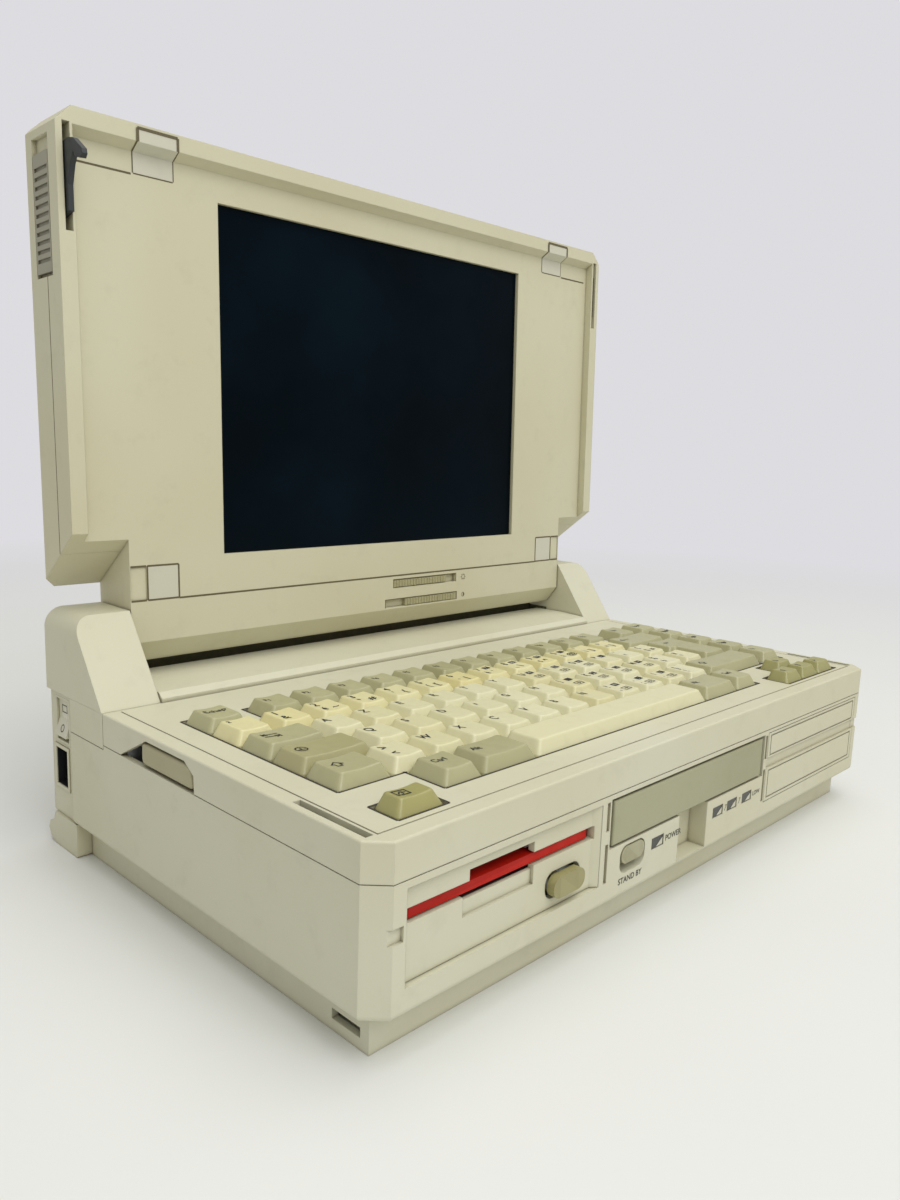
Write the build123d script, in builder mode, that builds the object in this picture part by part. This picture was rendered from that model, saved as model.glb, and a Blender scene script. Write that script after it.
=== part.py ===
"""Clamshell portable computer of the late 1980s: a deep base with a lift-off keyboard, a
diskette drive and a pull-out handle, and a thick display lid between two hinge shoulders.

Millimetres. +X is the user's right, +Y the back and +Z up. The origin is on the table, under
the middle of the whole object. Depths are counted back from the front face, and lid sizes
are counted up from the hinge axis and out from it towards the user.
"""

import os
from math import cos, radians, sin

from build123d import *

os.makedirs("parts", exist_ok=True)

# Overall form
width = 343.0
base_depth = 216.0
plinth_height = 15.0
plinth_side_inset = 7.0
plinth_front_inset = 9.4
plinth_rear_inset = 11.0
base_rim = 57.7
keyboard_top = 70.5
shoulder_top = 105.0
corner_cut = 6.8
wall = 2.5
seam = 0.3
gap = 0.3
running_fit = 0.06

# Hinge and lid
hinge_back = 206.5
hinge_height = 93.0
lid_tilt = 1.4
lid_closed_gap = 0.6
rim_side = 6.7
rim_top = 6.6
lip_draft = 2.8
lid_recess = 4.7
lid_seam_level = 9.8
bezel_skin = 2.2
lid_corner_cut = 6.4
lid_back_cut = 5.5
neck_gap = 0.6
neck_bottom = 12.5
ear_front = 45.2
ear_back = 20.7
screen_half = 99.8
screen_bottom = 33.0
screen_top = 185.0
pin_radius = 4.0

# Shoulders and rear deck
shoulder_width = 25.3
shoulder_foot = 164.2
shoulder_crest = 189.5
shoulder_round = 8.0
shoulder_wall = 2.2
rear_panel_thickness = 1.6
deck_rise = 4.5
deck_back = 204.5
rear_lip = 77.4
skirt_low = 56.0
bay_front = 193.6
bay_inset = 1.5

# Keyboard unit
keyboard_depth = 163.3
keyboard_skin = 2.0
tray_sheet = 1.5
key_pitch = 19.05
key_left = -153.2
key_front = 20.3
key_gap = 1.0
key_rise = 4.8
key_skirt = 2.6
key_side_taper = 3.0
key_front_taper = 1.9
key_back_taper = 3.4
dish_radius = 40.0
dish_depth = 0.7
stem_side = 5.0
plate_thickness = 1.5
navigation_gap = 3.1
cursor_left = 101.0
cursor_pitch = 18.0
cursor_depth = 12.6
cursor_front = 10.3
function_gap = 8.35
fn_width = 20.4

# Front face
floppy_left = -159.3
floppy_right = -64.8
floppy_low = 24.0
floppy_high = 54.9
floppy_set_back = 2.0
handle_half = 57.3
handle_low = 37.2
handle_high = 54.5
handle_arm = 50.0
arm_radius = 3.0
notch_half = 11.0
notch_low = 17.0
notch_depth = 8.0
led_width = 8.6
led_height = 4.6
led_level = 30.1
cover_left = 62.6
cover_right = 160.5
cover_low = 23.0
cover_high = 56.0
band_low = 39.0
band_high = 44.0
band_depth = 1.2
eject_proud = 1.2

# Diskette
diskette_width = 90.0
diskette_length = 94.0
diskette_thickness = 3.3
diskette_low = 43.3
diskette_set_back = 3.2

# Latches and small controls
latch_front = 7.6
latch_rear = 41.9
latch_travel = 4.5
slider_length = 39.6
rocker_angle = 16.0

# Sizes that follow from the ones above
half = width / 2
lid_front = hinge_height - keyboard_top - lid_closed_gap
lid_back = 11.0
lid_length = hinge_back
face = lid_front - lid_recess
skin_back = face - bezel_skin
tilt = radians(lid_tilt)
rear_reach = hinge_back + (lid_length - lid_back_cut) * sin(tilt) + lid_back * cos(tilt)
front = (eject_proud - rear_reach) / 2
shoulder_inner = half - shoulder_width
neck_half = shoulder_inner - neck_gap
panel_back = base_depth - rear_panel_thickness
hinge_y = front + hinge_back
ear_slope = (ear_front - ear_back) / (lid_front + lid_back)
sill = handle_low - 0.7
floor = 3.0
ledge = plinth_height + wall
housing_top = keyboard_top - seam
board_level = 8.0
board_top = board_level + 1.6
tray_level = 23.5
tray_top = 25.0
drive_high = 54.0
tub_inside = half - wall

# Planes: the front face seen by the user, and the lid seen from the front and from its side.
front_face = Plane(origin=(0, front, 0), x_dir=(1, 0, 0), z_dir=(0, -1, 0))
lid = Plane(origin=(0, hinge_y, hinge_height), x_dir=(1, 0, 0), z_dir=(0, -cos(tilt), sin(tilt)))
lid_side = Plane(
    origin=(0, hinge_y, hinge_height), x_dir=(0, cos(tilt), -sin(tilt)), z_dir=(1, 0, 0)
)


def deep(distance):
    """A distance behind the front face, as a Y coordinate."""
    return front + distance


def span(near, far):
    """Limits along Y, from two distances behind the front face."""
    return (front + near, front + far)


def both_sides(inner, outer):
    """The same limits along X on the left and on the right of the middle."""
    return [(-outer, -inner), (inner, outer)]


def block(x, y, z, mode=Mode.ADD, plane=Plane.XY, radius=0.0):
    """A box from its limits along the plane's three axes, with rounded upright edges."""
    with BuildSketch(plane.offset(z[0])) as outline:
        with Locations(((x[0] + x[1]) / 2, (y[0] + y[1]) / 2)):
            if radius:
                RectangleRounded(x[1] - x[0], y[1] - y[0], radius)
            else:
                Rectangle(x[1] - x[0], y[1] - y[0])
    extrude(outline.sketch, amount=z[1] - z[0], mode=mode)


def slab(points, z, mode=Mode.ADD, plane=Plane.XY):
    """A plate with a polygon outline, from its limits along the plane's normal."""
    with BuildSketch(plane.offset(z[0])) as outline:
        with BuildLine():
            Polyline(*points, close=True)
        make_face()
    extrude(outline.sketch, amount=z[1] - z[0], mode=mode)


def bar(centre, radius, z, mode=Mode.ADD, plane=Plane.XY):
    """A round bar along the plane's normal."""
    with BuildSketch(plane.offset(z[0])) as outline:
        with Locations(centre):
            Circle(radius)
    extrude(outline.sketch, amount=z[1] - z[0], mode=mode)


def plan(inset, near, far, cut):
    """The base's plan: square at the back, its two front corners cut."""
    side = half - inset
    return [
        (-side, deep(far)), (-side, deep(near + cut)), (-side + cut, deep(near)),
        (side - cut, deep(near)), (side, deep(near + cut)), (side, deep(far)),
    ]


def save(part, name):
    """Labels a finished piece and writes its file."""
    part.label = name
    export_step(part, f"parts/{name}.step")


# Lower housing: a tub on a narrower plinth
standby_x = (-51.8, -35.4)
standby_z = (24.2, 35.2)
standby_middle = (sum(standby_x) / 2, 31.3)
standby_depth = 5.2
led_places = [-26.3, 20.4, 32.6, 45.8]
rocker_window = ((197.2, 211.4), (47.6, 68.0))
inlet_window = ((198.4, 212.4), (27.0, 46.6))
screw_places = [(x, y) for x in (-148, 0, 148) for y in (26, 190)]
pad_places = [(x, y) for x in (-138, 138) for y in (44, 172)]
groove_places = [61.0, -61.0]

with BuildPart() as bottom_housing:
    slab(plan(0, 0, panel_back, corner_cut), (plinth_height, base_rim - seam))
    rounded = bottom_housing.faces().sort_by(Axis.Z)[0].edges().filter_by(
        lambda edge: edge.center().Y < deep(panel_back) - 1
    )
    fillet(rounded, radius=2.4)
    block((-half + bay_inset, half - bay_inset), span(bay_front, panel_back),
          (plinth_height, housing_top))
    plinth_half = half - plinth_side_inset
    plinth_rear = base_depth - plinth_rear_inset
    block((-plinth_half, plinth_half), span(plinth_front_inset, plinth_rear), (0, ledge))
    slab(plan(wall, wall, bay_front - wall, corner_cut - wall / 2), (ledge, base_rim), Mode.SUBTRACT)
    bay_half = half - bay_inset - wall
    block((-bay_half, bay_half), span(bay_front - wall, panel_back), (ledge, keyboard_top),
          Mode.SUBTRACT)
    block((-plinth_half + wall, plinth_half - wall),
          span(plinth_front_inset + wall, plinth_rear - wall), (floor, ledge), Mode.SUBTRACT)
    for x in both_sides(half - bay_inset, half + 1):
        block(x, span(bay_front, panel_back), (plinth_height - 1, base_rim), Mode.SUBTRACT)
    for x in both_sides(tub_inside, half + 1):
        block(x, span(keyboard_depth, bay_front), (skirt_low - seam, base_rim), Mode.SUBTRACT)
    for x in both_sides(plinth_half - wall - 1, plinth_half + 1):
        block(x, span(13.4, 26.8), (4.0, 7.4), Mode.SUBTRACT)
    # Front openings for the drive bezel, the handle and the cover, and the outer band
    block((floppy_left, floppy_right), (floppy_low, floppy_high), (-wall - 1, 1), Mode.SUBTRACT,
          front_face)
    block((-handle_half - 2, handle_half + 2), (sill, handle_high + 1.1), (-wall - 1, 1),
          Mode.SUBTRACT, front_face)
    block((cover_left, cover_right), (cover_low, cover_high), (-wall - 1, 1), Mode.SUBTRACT,
          front_face)
    for x in both_sides(cover_right, half + 1):
        block(x, (band_low, band_high), (-band_depth, 1), Mode.SUBTRACT, front_face)
    for x in groove_places:
        for z in ((floppy_low, band_low), (band_high, floppy_high)):
            block((x - 0.9, x + 0.9), z, (-band_depth, 1), Mode.SUBTRACT, front_face)
    # Finger notch and stand-by recess, each in its own thicker wall
    block((-notch_half - wall, notch_half + wall), span(wall, notch_depth + wall),
          (plinth_height, sill))
    block((-notch_half, notch_half), (notch_low, sill + 1), (-notch_depth, 1), Mode.SUBTRACT,
          front_face)
    block((standby_x[0] - 2, standby_x[1] + 2), span(wall, standby_depth + 2),
          (standby_z[0] - 2, sill))
    block(standby_x, standby_z, (-standby_depth, 1), Mode.SUBTRACT, front_face, radius=4)
    bar(standby_middle, 2.2 + running_fit, (-standby_depth - 3, 1), Mode.SUBTRACT, front_face)
    for x in led_places:
        block((x - led_width / 2, x + led_width / 2),
              (led_level - led_height / 2, led_level + led_height / 2), (-wall - 1, 1),
              Mode.SUBTRACT, front_face)
    for y, z in (rocker_window, inlet_window):
        block((-half - 1, -bay_half + 1), span(*y), z, Mode.SUBTRACT)
    for x, y in screw_places:
        bar((x, deep(y)), 4.0, (floor, board_level))
        bar((x, deep(y)), 1.6, (0, board_level), Mode.SUBTRACT)
        bar((x, deep(y)), 3.0, (0, 1.2), Mode.SUBTRACT)
    for x, y in pad_places:
        bar((x, deep(y)), 8.0, (0, 1.2), Mode.SUBTRACT)
save(bottom_housing.part, "bottom_housing")

with BuildPart() as rubber_feet:
    for x, y in pad_places:
        bar((x, deep(y)), 8.0, (0, 1.2))
save(rubber_feet.part, "rubber_feet")

foot_top = plinth_height
foot_outline = [
    (deep(191.5), 0.8), (deep(192.3), 0), (deep(214), 0), (deep(218.6), 2.4),
    (deep(220.2), 5.4), (deep(218.6), 9.0), (deep(214.6), 10.8), (deep(212.6), foot_top),
    (deep(191.5), foot_top),
]
foot_rear_outline = [(deep(plinth_rear), 0), *foot_outline[2:-1], (deep(plinth_rear), foot_top)]

with BuildPart() as rear_feet:
    for x in both_sides(plinth_half, half - 0.5):
        slab(foot_outline, x, plane=Plane.YZ)
    for x in both_sides(half - 22, plinth_half):
        slab(foot_rear_outline, x, plane=Plane.YZ)
save(rear_feet.part, "rear_feet")

# Rear panel with its connector windows, and the connectors
port_windows = [(-60, -7), (2, 55), (64, 95), (104, 135)]
port_levels = (24.0, 35.0)

with BuildPart() as rear_panel:
    block((-half + 1.8, half - 1.8), span(panel_back, base_depth), (plinth_height, housing_top))
    for x in port_windows:
        block(x, span(panel_back - 1, base_depth + 1), port_levels, Mode.SUBTRACT, radius=0)
    for x in range(-150, -70, 8):
        block((x, x + 3), span(panel_back - 1, base_depth + 1), (30, 56), Mode.SUBTRACT)
save(rear_panel.part, "rear_panel")

with BuildPart() as port_connectors:
    for x in port_windows:
        block((x[0] - 3, x[1] + 3), span(panel_back - 1.5, panel_back),
              (port_levels[0] - 1.5, port_levels[1] + 1.5))
        block((x[0] + 0.3, x[1] - 0.3), span(panel_back - 12, base_depth + 1.5),
              (port_levels[0] + 0.3, port_levels[1] - 0.3))
        block((x[0] + 2, x[1] - 2), span(base_depth - 4, base_depth + 2),
              (port_levels[0] + 2, port_levels[1] - 2), Mode.SUBTRACT)
save(port_connectors.part, "port_connectors")

# Rear deck: the strip between keyboard and lid, its side skirts and the trough behind it
deck_front = keyboard_depth + seam
deck_low = housing_top - 2.0
skirt_rear = bay_front - seam
deck_half = shoulder_inner - seam
deck_outline = [
    (deep(deck_front), deck_low), (deep(deck_front), keyboard_top + 1.5),
    (deep(166.4), keyboard_top + 3.7), (deep(184), keyboard_top + deck_rise),
    (deep(deck_back), keyboard_top + deck_rise - 0.4), (deep(deck_back), deck_low),
]
deck_hollow = [
    (deep(deck_front + 2.2), deck_low - 1), (deep(deck_front + 2.2), keyboard_top + 0.5),
    (deep(167.2), keyboard_top + 1.5), (deep(184), keyboard_top + deck_rise - 2.2),
    (deep(deck_back - 2.2), keyboard_top + deck_rise - 2.6), (deep(deck_back - 2.2), deck_low - 1),
]

with BuildPart() as rear_deck:
    block((-half, half), span(deck_front, skirt_rear), (deck_low, housing_top))
    block((-bay_half + gap, bay_half - gap), span(skirt_rear, panel_back), (deck_low, housing_top))
    for x in both_sides(tub_inside, half):
        block(x, span(deck_front, skirt_rear), (skirt_low, housing_top))
    slab(deck_outline, (-deck_half, deck_half), plane=Plane.YZ)
    slab(deck_hollow, (-deck_half + 2.2, deck_half - 2.2), Mode.SUBTRACT, Plane.YZ)
    block((-deck_half, deck_half), span(panel_back - 2, panel_back), (deck_low, rear_lip))
    block((-deck_half, deck_half), span(panel_back, base_depth), (housing_top, rear_lip))
save(rear_deck.part, "rear_deck")


def shoulder_shape(inset, low, inner_inset, mode=Mode.ADD):
    """The hinge shoulder's outline, drawn in from its skin by a wall thickness."""
    points = [
        (deep(shoulder_foot + inset * 1.25), low),
        (deep(shoulder_crest + inset * 0.6), shoulder_top - inset),
        (deep(base_depth - inset), shoulder_top - inset), (deep(base_depth - inset), low),
    ]
    slab(points, (shoulder_inner + inner_inset, half - inset), mode, Plane.YZ)


with BuildPart() as shoulder_core:
    shoulder_shape(shoulder_wall, housing_top - 1, shoulder_wall)
    core_edge = shoulder_core.faces().filter_by(Axis.X).sort_by(Axis.X)[-1].edges()
    fillet(core_edge.sort_by(Axis.Z)[-1], radius=shoulder_round - shoulder_wall)

with BuildPart() as right_shoulder:
    shoulder_shape(0, housing_top, 0)
    skin_edge = right_shoulder.faces().filter_by(Axis.X).sort_by(Axis.X)[-1].edges()
    fillet(skin_edge.sort_by(Axis.Z)[-1], radius=shoulder_round)
    add(shoulder_core.part, mode=Mode.SUBTRACT)
    bar((hinge_y, hinge_height), pin_radius + gap, (shoulder_inner - 1, shoulder_inner + 3),
        Mode.SUBTRACT, Plane.YZ)
save(right_shoulder.part, "right_hinge_cover")
save(right_shoulder.part.mirror(Plane.YZ), "left_hinge_cover")

# Hinge brackets on the deck, inside the shoulders, and the pins that the lid turns on
with BuildPart() as hinge_brackets:
    for x in both_sides(152, 158):
        bar((hinge_y, hinge_height), 7.0, x, plane=Plane.YZ)
        slab([(hinge_y - 7, hinge_height), (hinge_y - 9, housing_top), (hinge_y + 7, housing_top),
              (hinge_y + 7, hinge_height)], x, plane=Plane.YZ)
    for x in both_sides(150, 167):
        block(x, span(193, 213.4), (housing_top, housing_top + 2))
    for x in both_sides(150, 160):
        bar((hinge_y, hinge_height), pin_radius + running_fit, x, Mode.SUBTRACT, Plane.YZ)
save(hinge_brackets.part, "hinge_brackets")

with BuildPart() as hinge_pins:
    for x in both_sides(138, 159.5):
        bar((hinge_y, hinge_height), pin_radius, x, plane=Plane.YZ)
save(hinge_pins.part, "hinge_pins")

# Diskette drive behind its bezel
slot_x = (floppy_left + 1.2, floppy_right - 2.5)
slot_z = (42.7, 47.4)
eject_x = (-93.4, -74.1)
eject_z = (27.4, 37.2)
eject_middle = (sum(eject_x) / 2, sum(eject_z) / 2)
bezel_back = floppy_set_back + 2.6

with BuildPart() as floppy_bezel:
    block((floppy_left + 0.2, floppy_right - 0.2), (floppy_low + 0.2, floppy_high - 0.2),
          (-bezel_back, -floppy_set_back), plane=front_face)
    slab([(floppy_right - 0.2, deep(0)), (floppy_right - 3.4, deep(floppy_set_back)),
          (floppy_right - 0.2, deep(floppy_set_back))], (floppy_low + 0.2, floppy_high - 0.2))
    for x in ((floppy_left - 2, floppy_left + 2), (floppy_right - 2, floppy_right + 1.6)):
        block(x, span(wall, bezel_back), (floppy_low - 2, floppy_high + 0.6))
    block((floppy_left - 2, floppy_right + 1.6), span(wall, bezel_back),
          (floppy_low - 2, floppy_low + 1))
    block(slot_x, slot_z, (-bezel_back - 1, 1), Mode.SUBTRACT, front_face)
    block((-131.3, -100.2), (slot_z[0], 51.1), (-bezel_back - 1, 1), Mode.SUBTRACT, front_face)
    block((-134, -100.2), (36.1, slot_z[1]), (-bezel_back - 1, 1), Mode.SUBTRACT, front_face)
    block((-133.9, -100.3), (36.1, 41.2), (-bezel_back, -floppy_set_back - 1.2), plane=front_face)
    block(eject_x, eject_z, (-bezel_back - 1, 1), Mode.SUBTRACT, front_face, radius=4.2)
save(floppy_bezel.part, "floppy_bezel")

with BuildPart() as floppy_drive:
    block((-162, floppy_right), span(6.2, 150), (tray_top, drive_high))
    block(slot_x, span(5, 108), slot_z, Mode.SUBTRACT)
    block((-131.3, -100.2), span(5, 12), (slot_z[0], 51.1), Mode.SUBTRACT)
    block((-134, -100.2), span(5, 9), (36.1, slot_z[1]), Mode.SUBTRACT)
    block((-84, -66), span(30, 140), (tray_top + 4, slot_z[0] - 4), Mode.SUBTRACT)
    bar(eject_middle, 2.0 + running_fit, (-16, 0), Mode.SUBTRACT, front_face)
save(floppy_drive.part, "floppy_drive")

with BuildPart() as eject_button:
    block((eject_x[0] + 1, eject_x[1] - 1), (eject_z[0] + 1, eject_z[1] - 1), (-2.0, eject_proud),
          plane=front_face, radius=3.6)
    bar(eject_middle, 2.0, (-11, -1), plane=front_face)
save(eject_button.part, "eject_button")

disk_x = (sum(slot_x) / 2 - diskette_width / 2, sum(slot_x) / 2 + diskette_width / 2)
disk_z = (diskette_low, diskette_low + diskette_thickness)
with BuildPart() as diskette:
    block(disk_x, span(diskette_set_back, diskette_set_back + diskette_length), disk_z)
    corners = diskette.edges().filter_by(Axis.Z)
    chamfer(corners, length=2.0)
    block((disk_x[0] + 28, disk_x[1] - 28), span(diskette_set_back + 63, diskette_set_back + 96),
          (disk_z[1] - 0.4, disk_z[1]), Mode.SUBTRACT)
save(diskette.part, "diskette")

# Front cover over the hard drive, lamp windows and the stand-by button
with BuildPart() as bay_cover:
    block((cover_left + seam, cover_right - seam), (cover_low + seam, cover_high - seam),
          (-wall, 0), plane=front_face)
    block((cover_left, cover_right), (band_low, band_high), (-band_depth, 1), Mode.SUBTRACT,
          front_face)
    for z in ((floppy_low + 0.6, 38.0), (band_high + 0.8, 54.6)):
        block((65, 158), z, (-0.5, 1), Mode.SUBTRACT, front_face)
        block((65.6, 157.4), (z[0] + 0.6, z[1] - 0.6), (-0.5, 0), plane=front_face)
save(bay_cover.part, "bay_cover")

with BuildPart() as led_windows:
    for x in led_places:
        block((x - led_width / 2, x + led_width / 2),
              (led_level - led_height / 2, led_level + led_height / 2), (-wall, -0.3),
              plane=front_face)
        block((x - led_width / 2 - 1, x + led_width / 2 + 1),
              (led_level - led_height / 2 - 1, led_level + led_height / 2 + 1), (-wall - 1.2, -wall),
              plane=front_face)
save(led_windows.part, "led_windows")

with BuildPart() as standby_button:
    block((standby_x[0] + 0.7, standby_x[1] - 0.7), (27.9, 34.7), (-2.3, 0.2), plane=front_face,
          radius=3.3)
    bar(standby_middle, 2.2, (-12, -2), plane=front_face)
save(standby_button.part, "standby_button")

# Pull-out handle on two arms, and the tubes that they slide in
handle_middle = (handle_low + handle_high) / 2
tube_back = 124.0

with BuildPart() as carry_handle:
    block((-handle_half, handle_half), (handle_low, handle_high), (-wall, 0), plane=front_face)
    grip_edges = carry_handle.faces().sort_by(Axis.Y)[0].edges()
    fillet(grip_edges, radius=0.8)
    for x in (-handle_arm, handle_arm):
        bar((x, handle_middle), arm_radius, (-tube_back + 6, -wall), plane=front_face)
save(carry_handle.part, "carry_handle")

with BuildPart() as handle_guides:
    block((-handle_half - 3, handle_half + 3), (sill + 0.2, handle_high + 1.5), (-7.5, -6),
          plane=front_face)
    for x in (-handle_arm, handle_arm):
        bar((x, handle_middle), arm_radius + 2, (-tube_back, -6), plane=front_face)
        for y in (30, 100):
            block((x - 5, x + 5), span(y, y + 12), (tray_top, handle_middle))
    for x in (-handle_arm, handle_arm):
        bar((x, handle_middle), arm_radius + running_fit, (-tube_back - 1, 0), Mode.SUBTRACT,
            front_face)
save(handle_guides.part, "handle_guides")

# Inside the base: drive tray, board, battery, power supply, drives and speaker
with BuildPart() as drive_tray:
    block((-163, 163), span(14, 201), (tray_level, tray_top))
    for x in both_sides(162.5, 166):
        block(x, span(16, 190), (ledge, tray_top))
    for x in (-60, 60):
        block((x - 1, x + 1), span(16, 200), (tray_level - 3, tray_level))
save(drive_tray.part, "drive_tray")

chips = [
    (-120, 40, 18, 40, 4), (-85, 40, 18, 40, 4), (-40, 45, 34, 34, 5), (20, 40, 40, 16, 4),
    (20, 70, 40, 16, 4), (90, 50, 50, 14, 4), (90, 80, 50, 14, 4), (-110, 120, 30, 30, 5),
    (-30, 120, 60, 20, 4), (60, 130, 34, 34, 5), (120, 150, 20, 40, 4), (-20, 160, 90, 10, 6),
]
with BuildPart() as main_board:
    block((-155, 155), span(18, 198), (board_level, board_top))
    for x, y, along, across, tall in chips:
        block((x - along / 2, x + along / 2), span(y - across / 2, y + across / 2),
              (board_top, board_top + tall))
    for x, y in screw_places:
        bar((x, deep(y)), 1.6, (board_level - 1, board_top + 1), Mode.SUBTRACT)
save(main_board.part, "main_board")

with BuildPart() as housing_screws:
    for x, y in screw_places:
        bar((x, deep(y)), 2.8, (0.1, 1.2))
        bar((x, deep(y)), 1.5, (1.2, board_top))
        bar((x, deep(y)), 2.8, (board_top, board_top + 1.6))
save(housing_screws.part, "housing_screws")

with BuildPart() as hard_drive:
    block((62, 162), span(8, 152), (tray_top, 50))
    block((62, 162), span(8, 152), (50, 51.5))
    for x in both_sides(161, 163):
        block((x[0], x[1]), span(10, 150), (40, 46), Mode.SUBTRACT)
    bar((112, deep(70)), 34, (50.5, 52), Mode.SUBTRACT)
    bar((112, deep(70)), 12, (50, 51.5))
save(hard_drive.part, "hard_drive")

with BuildPart() as battery_pack:
    block((-58, 58), span(130, 198), (tray_top, 52))
    for x in range(-40, 60, 20):
        block((x - 0.6, x + 0.6), span(129, 199), (51, 53), Mode.SUBTRACT)
save(battery_pack.part, "battery_pack")

with BuildPart() as power_supply:
    block((-142, -64), span(156, 203), (tray_top, 54))
    for x in range(-134, -70, 8):
        block((x, x + 3), span(160, 199), (53, 55), Mode.SUBTRACT)
save(power_supply.part, "power_supply")

with BuildPart() as speaker:
    block((96, 150), span(162, 198), (tray_top, 28))
    bar((123, deep(180)), 16, (28, 42))
    bar((123, deep(180)), 13, (40, 43), Mode.SUBTRACT)
save(speaker.part, "speaker")

# Rocker switch and power inlet in the left-hand bay
rocker_y = (199.0, 209.6)
rocker_pivot = (-164.0, sum(rocker_window[1]) / 2)
axle_radius = 1.5

with BuildPart() as switch_frame:
    block((-half + bay_inset, -150), span(rocker_window[0][0], rocker_window[0][1]),
          rocker_window[1])
    block((-half, -152), span(rocker_y[0] - gap, rocker_y[1] + gap), (48.8, 66.9), Mode.SUBTRACT)
    bar(rocker_pivot, axle_radius + running_fit, (-deep(211.0), -deep(197.6)), Mode.SUBTRACT,
        Plane.XZ)
save(switch_frame.part, "switch_frame")

with BuildPart() as rocker_blank:
    slab([(-170.2, rocker_pivot[1] - 7.8), (-168.9, rocker_pivot[1]),
          (-170.2, rocker_pivot[1] + 7.8), (-164.0, rocker_pivot[1] + 7.0),
          (-158.0, rocker_pivot[1]), (-164.0, rocker_pivot[1] - 7.0)],
         (-deep(rocker_y[1]), -deep(rocker_y[0])), plane=Plane.XZ)
rocker_axis = Axis((rocker_pivot[0], 0, rocker_pivot[1]), (0, 1, 0))
with BuildPart() as power_rocker:
    add(rocker_blank.part.rotate(rocker_axis, rocker_angle / 2))
    bar(rocker_pivot, axle_radius, (-deep(210.8), -deep(197.8)), plane=Plane.XZ)
save(power_rocker.part, "power_rocker")

with BuildPart() as power_inlet:
    block((-half + bay_inset, -148), span(*inlet_window[0]), inlet_window[1])
    block((-half, -154), span(200, 210.8), (28.8, 44.8), Mode.SUBTRACT)
    for y, z in ((203.0, 41.5), (203.0, 32.1), (207.8, 36.8)):
        block((-166, -150), span(y - 0.9, y + 0.9), (z - 1.9, z + 1.9))
save(power_inlet.part, "power_inlet")

# Keyboard unit: a shallow shell with one opening per key field, a bottom sheet and a key plate
unit = key_pitch
rows = [key_front + unit * level for level in range(6)]
block_right = key_left + 15 * unit
navigation_left = block_right + navigation_gap
function_left = key_left + unit + function_gap
last_function_left = block_right - unit
fn_corner = (key_left - 0.4, cursor_front + 0.6)
cursor_rear = cursor_front + cursor_depth
latch_x = (half - 5.5, half - 2.6)


def row_keys(left, level, widths):
    """Cells of one row, side by side: left edge, front edge, width and depth."""
    cells = []
    for share in widths:
        cells.append((left, rows[level], share * unit, unit))
        left += share * unit
    return cells


ones = [1] * 12
key_sets = {
    "function_keys": [
        *row_keys(key_left, 5, [1]), *row_keys(function_left, 5, ones),
        *row_keys(last_function_left, 5, [1]),
    ],
    "number_keys": row_keys(key_left, 4, [1] * 13),
    "upper_letter_keys": row_keys(key_left + 1.5 * unit, 3, ones),
    "home_letter_keys": row_keys(key_left + 1.75 * unit, 2, ones),
    "lower_letter_keys": row_keys(key_left + 1.25 * unit, 1, [1] * 11),
    "space_bar": row_keys(key_left + 4 * unit, 0, [6.25]),
    "shift_keys": [
        *row_keys(key_left, 1, [1.25]), *row_keys(key_left + 12.25 * unit, 1, [2.75]),
    ],
    "backspace_key": row_keys(key_left + 13 * unit, 4, [2]),
    "tab_caps_keys": [*row_keys(key_left, 3, [1.5]), *row_keys(key_left, 2, [1.75])],
    "bottom_modifier_keys": [
        *row_keys(key_left + 1.5 * unit, 0, [1, 1.5]),
        *row_keys(key_left + 10.25 * unit, 0, [1.5, 1]),
    ],
    "navigation_keys": [(navigation_left, rows[level], unit, unit) for level in range(1, 6)],
    "cursor_keys": [
        *[(cursor_left + cursor_pitch * place, cursor_front, cursor_pitch, cursor_depth)
          for place in range(3)],
        (cursor_left + cursor_pitch, cursor_rear, cursor_pitch, cursor_depth),
    ],
    "fn_key": [(*fn_corner, fn_width, cursor_depth)],
}
enter_tall = (key_left + 13.75 * unit, rows[2], 1.25 * unit, 2 * unit)
enter_wide = (key_left + 13.5 * unit, rows[3], 1.5 * unit, unit)

margin = 0.3
fields = [
    (key_left, block_right, rows[1], rows[5]),
    (key_left + 1.5 * unit, key_left + 12.75 * unit, rows[0], rows[1] + 1),
    (key_left, key_left + unit, rows[5] - 1, rows[5] + unit),
    (function_left, function_left + 12 * unit, rows[5] - 1, rows[5] + unit),
    (last_function_left, block_right, rows[5] - 1, rows[5] + unit),
    (navigation_left, navigation_left + unit, rows[1], rows[5] + unit),
    (cursor_left, cursor_left + 3 * cursor_pitch, cursor_front, cursor_rear),
    (cursor_left + cursor_pitch, cursor_left + 2 * cursor_pitch, cursor_rear - 1,
     cursor_rear + cursor_depth),
    (fn_corner[0], fn_corner[0] + fn_width, fn_corner[1], fn_corner[1] + cursor_depth),
]
shell_inside = keyboard_top - keyboard_skin
release_notch = [
    (deep(148.4), base_rim - 1), (deep(148.4), base_rim + seam), (deep(129), 68.0),
    (deep(101.4), 68.0), (deep(95.4), 64.2), (deep(94.9), base_rim - 1),
]
# The bar's nose sits in the throat of the closed hook, clear of it by 0.3
catch_bar = [
    (deep(19.1), 63.6), (deep(22.1), 65.7), (deep(26), 65.7), (deep(26), 62.4), (deep(21.1), 62.4),
]

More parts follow.
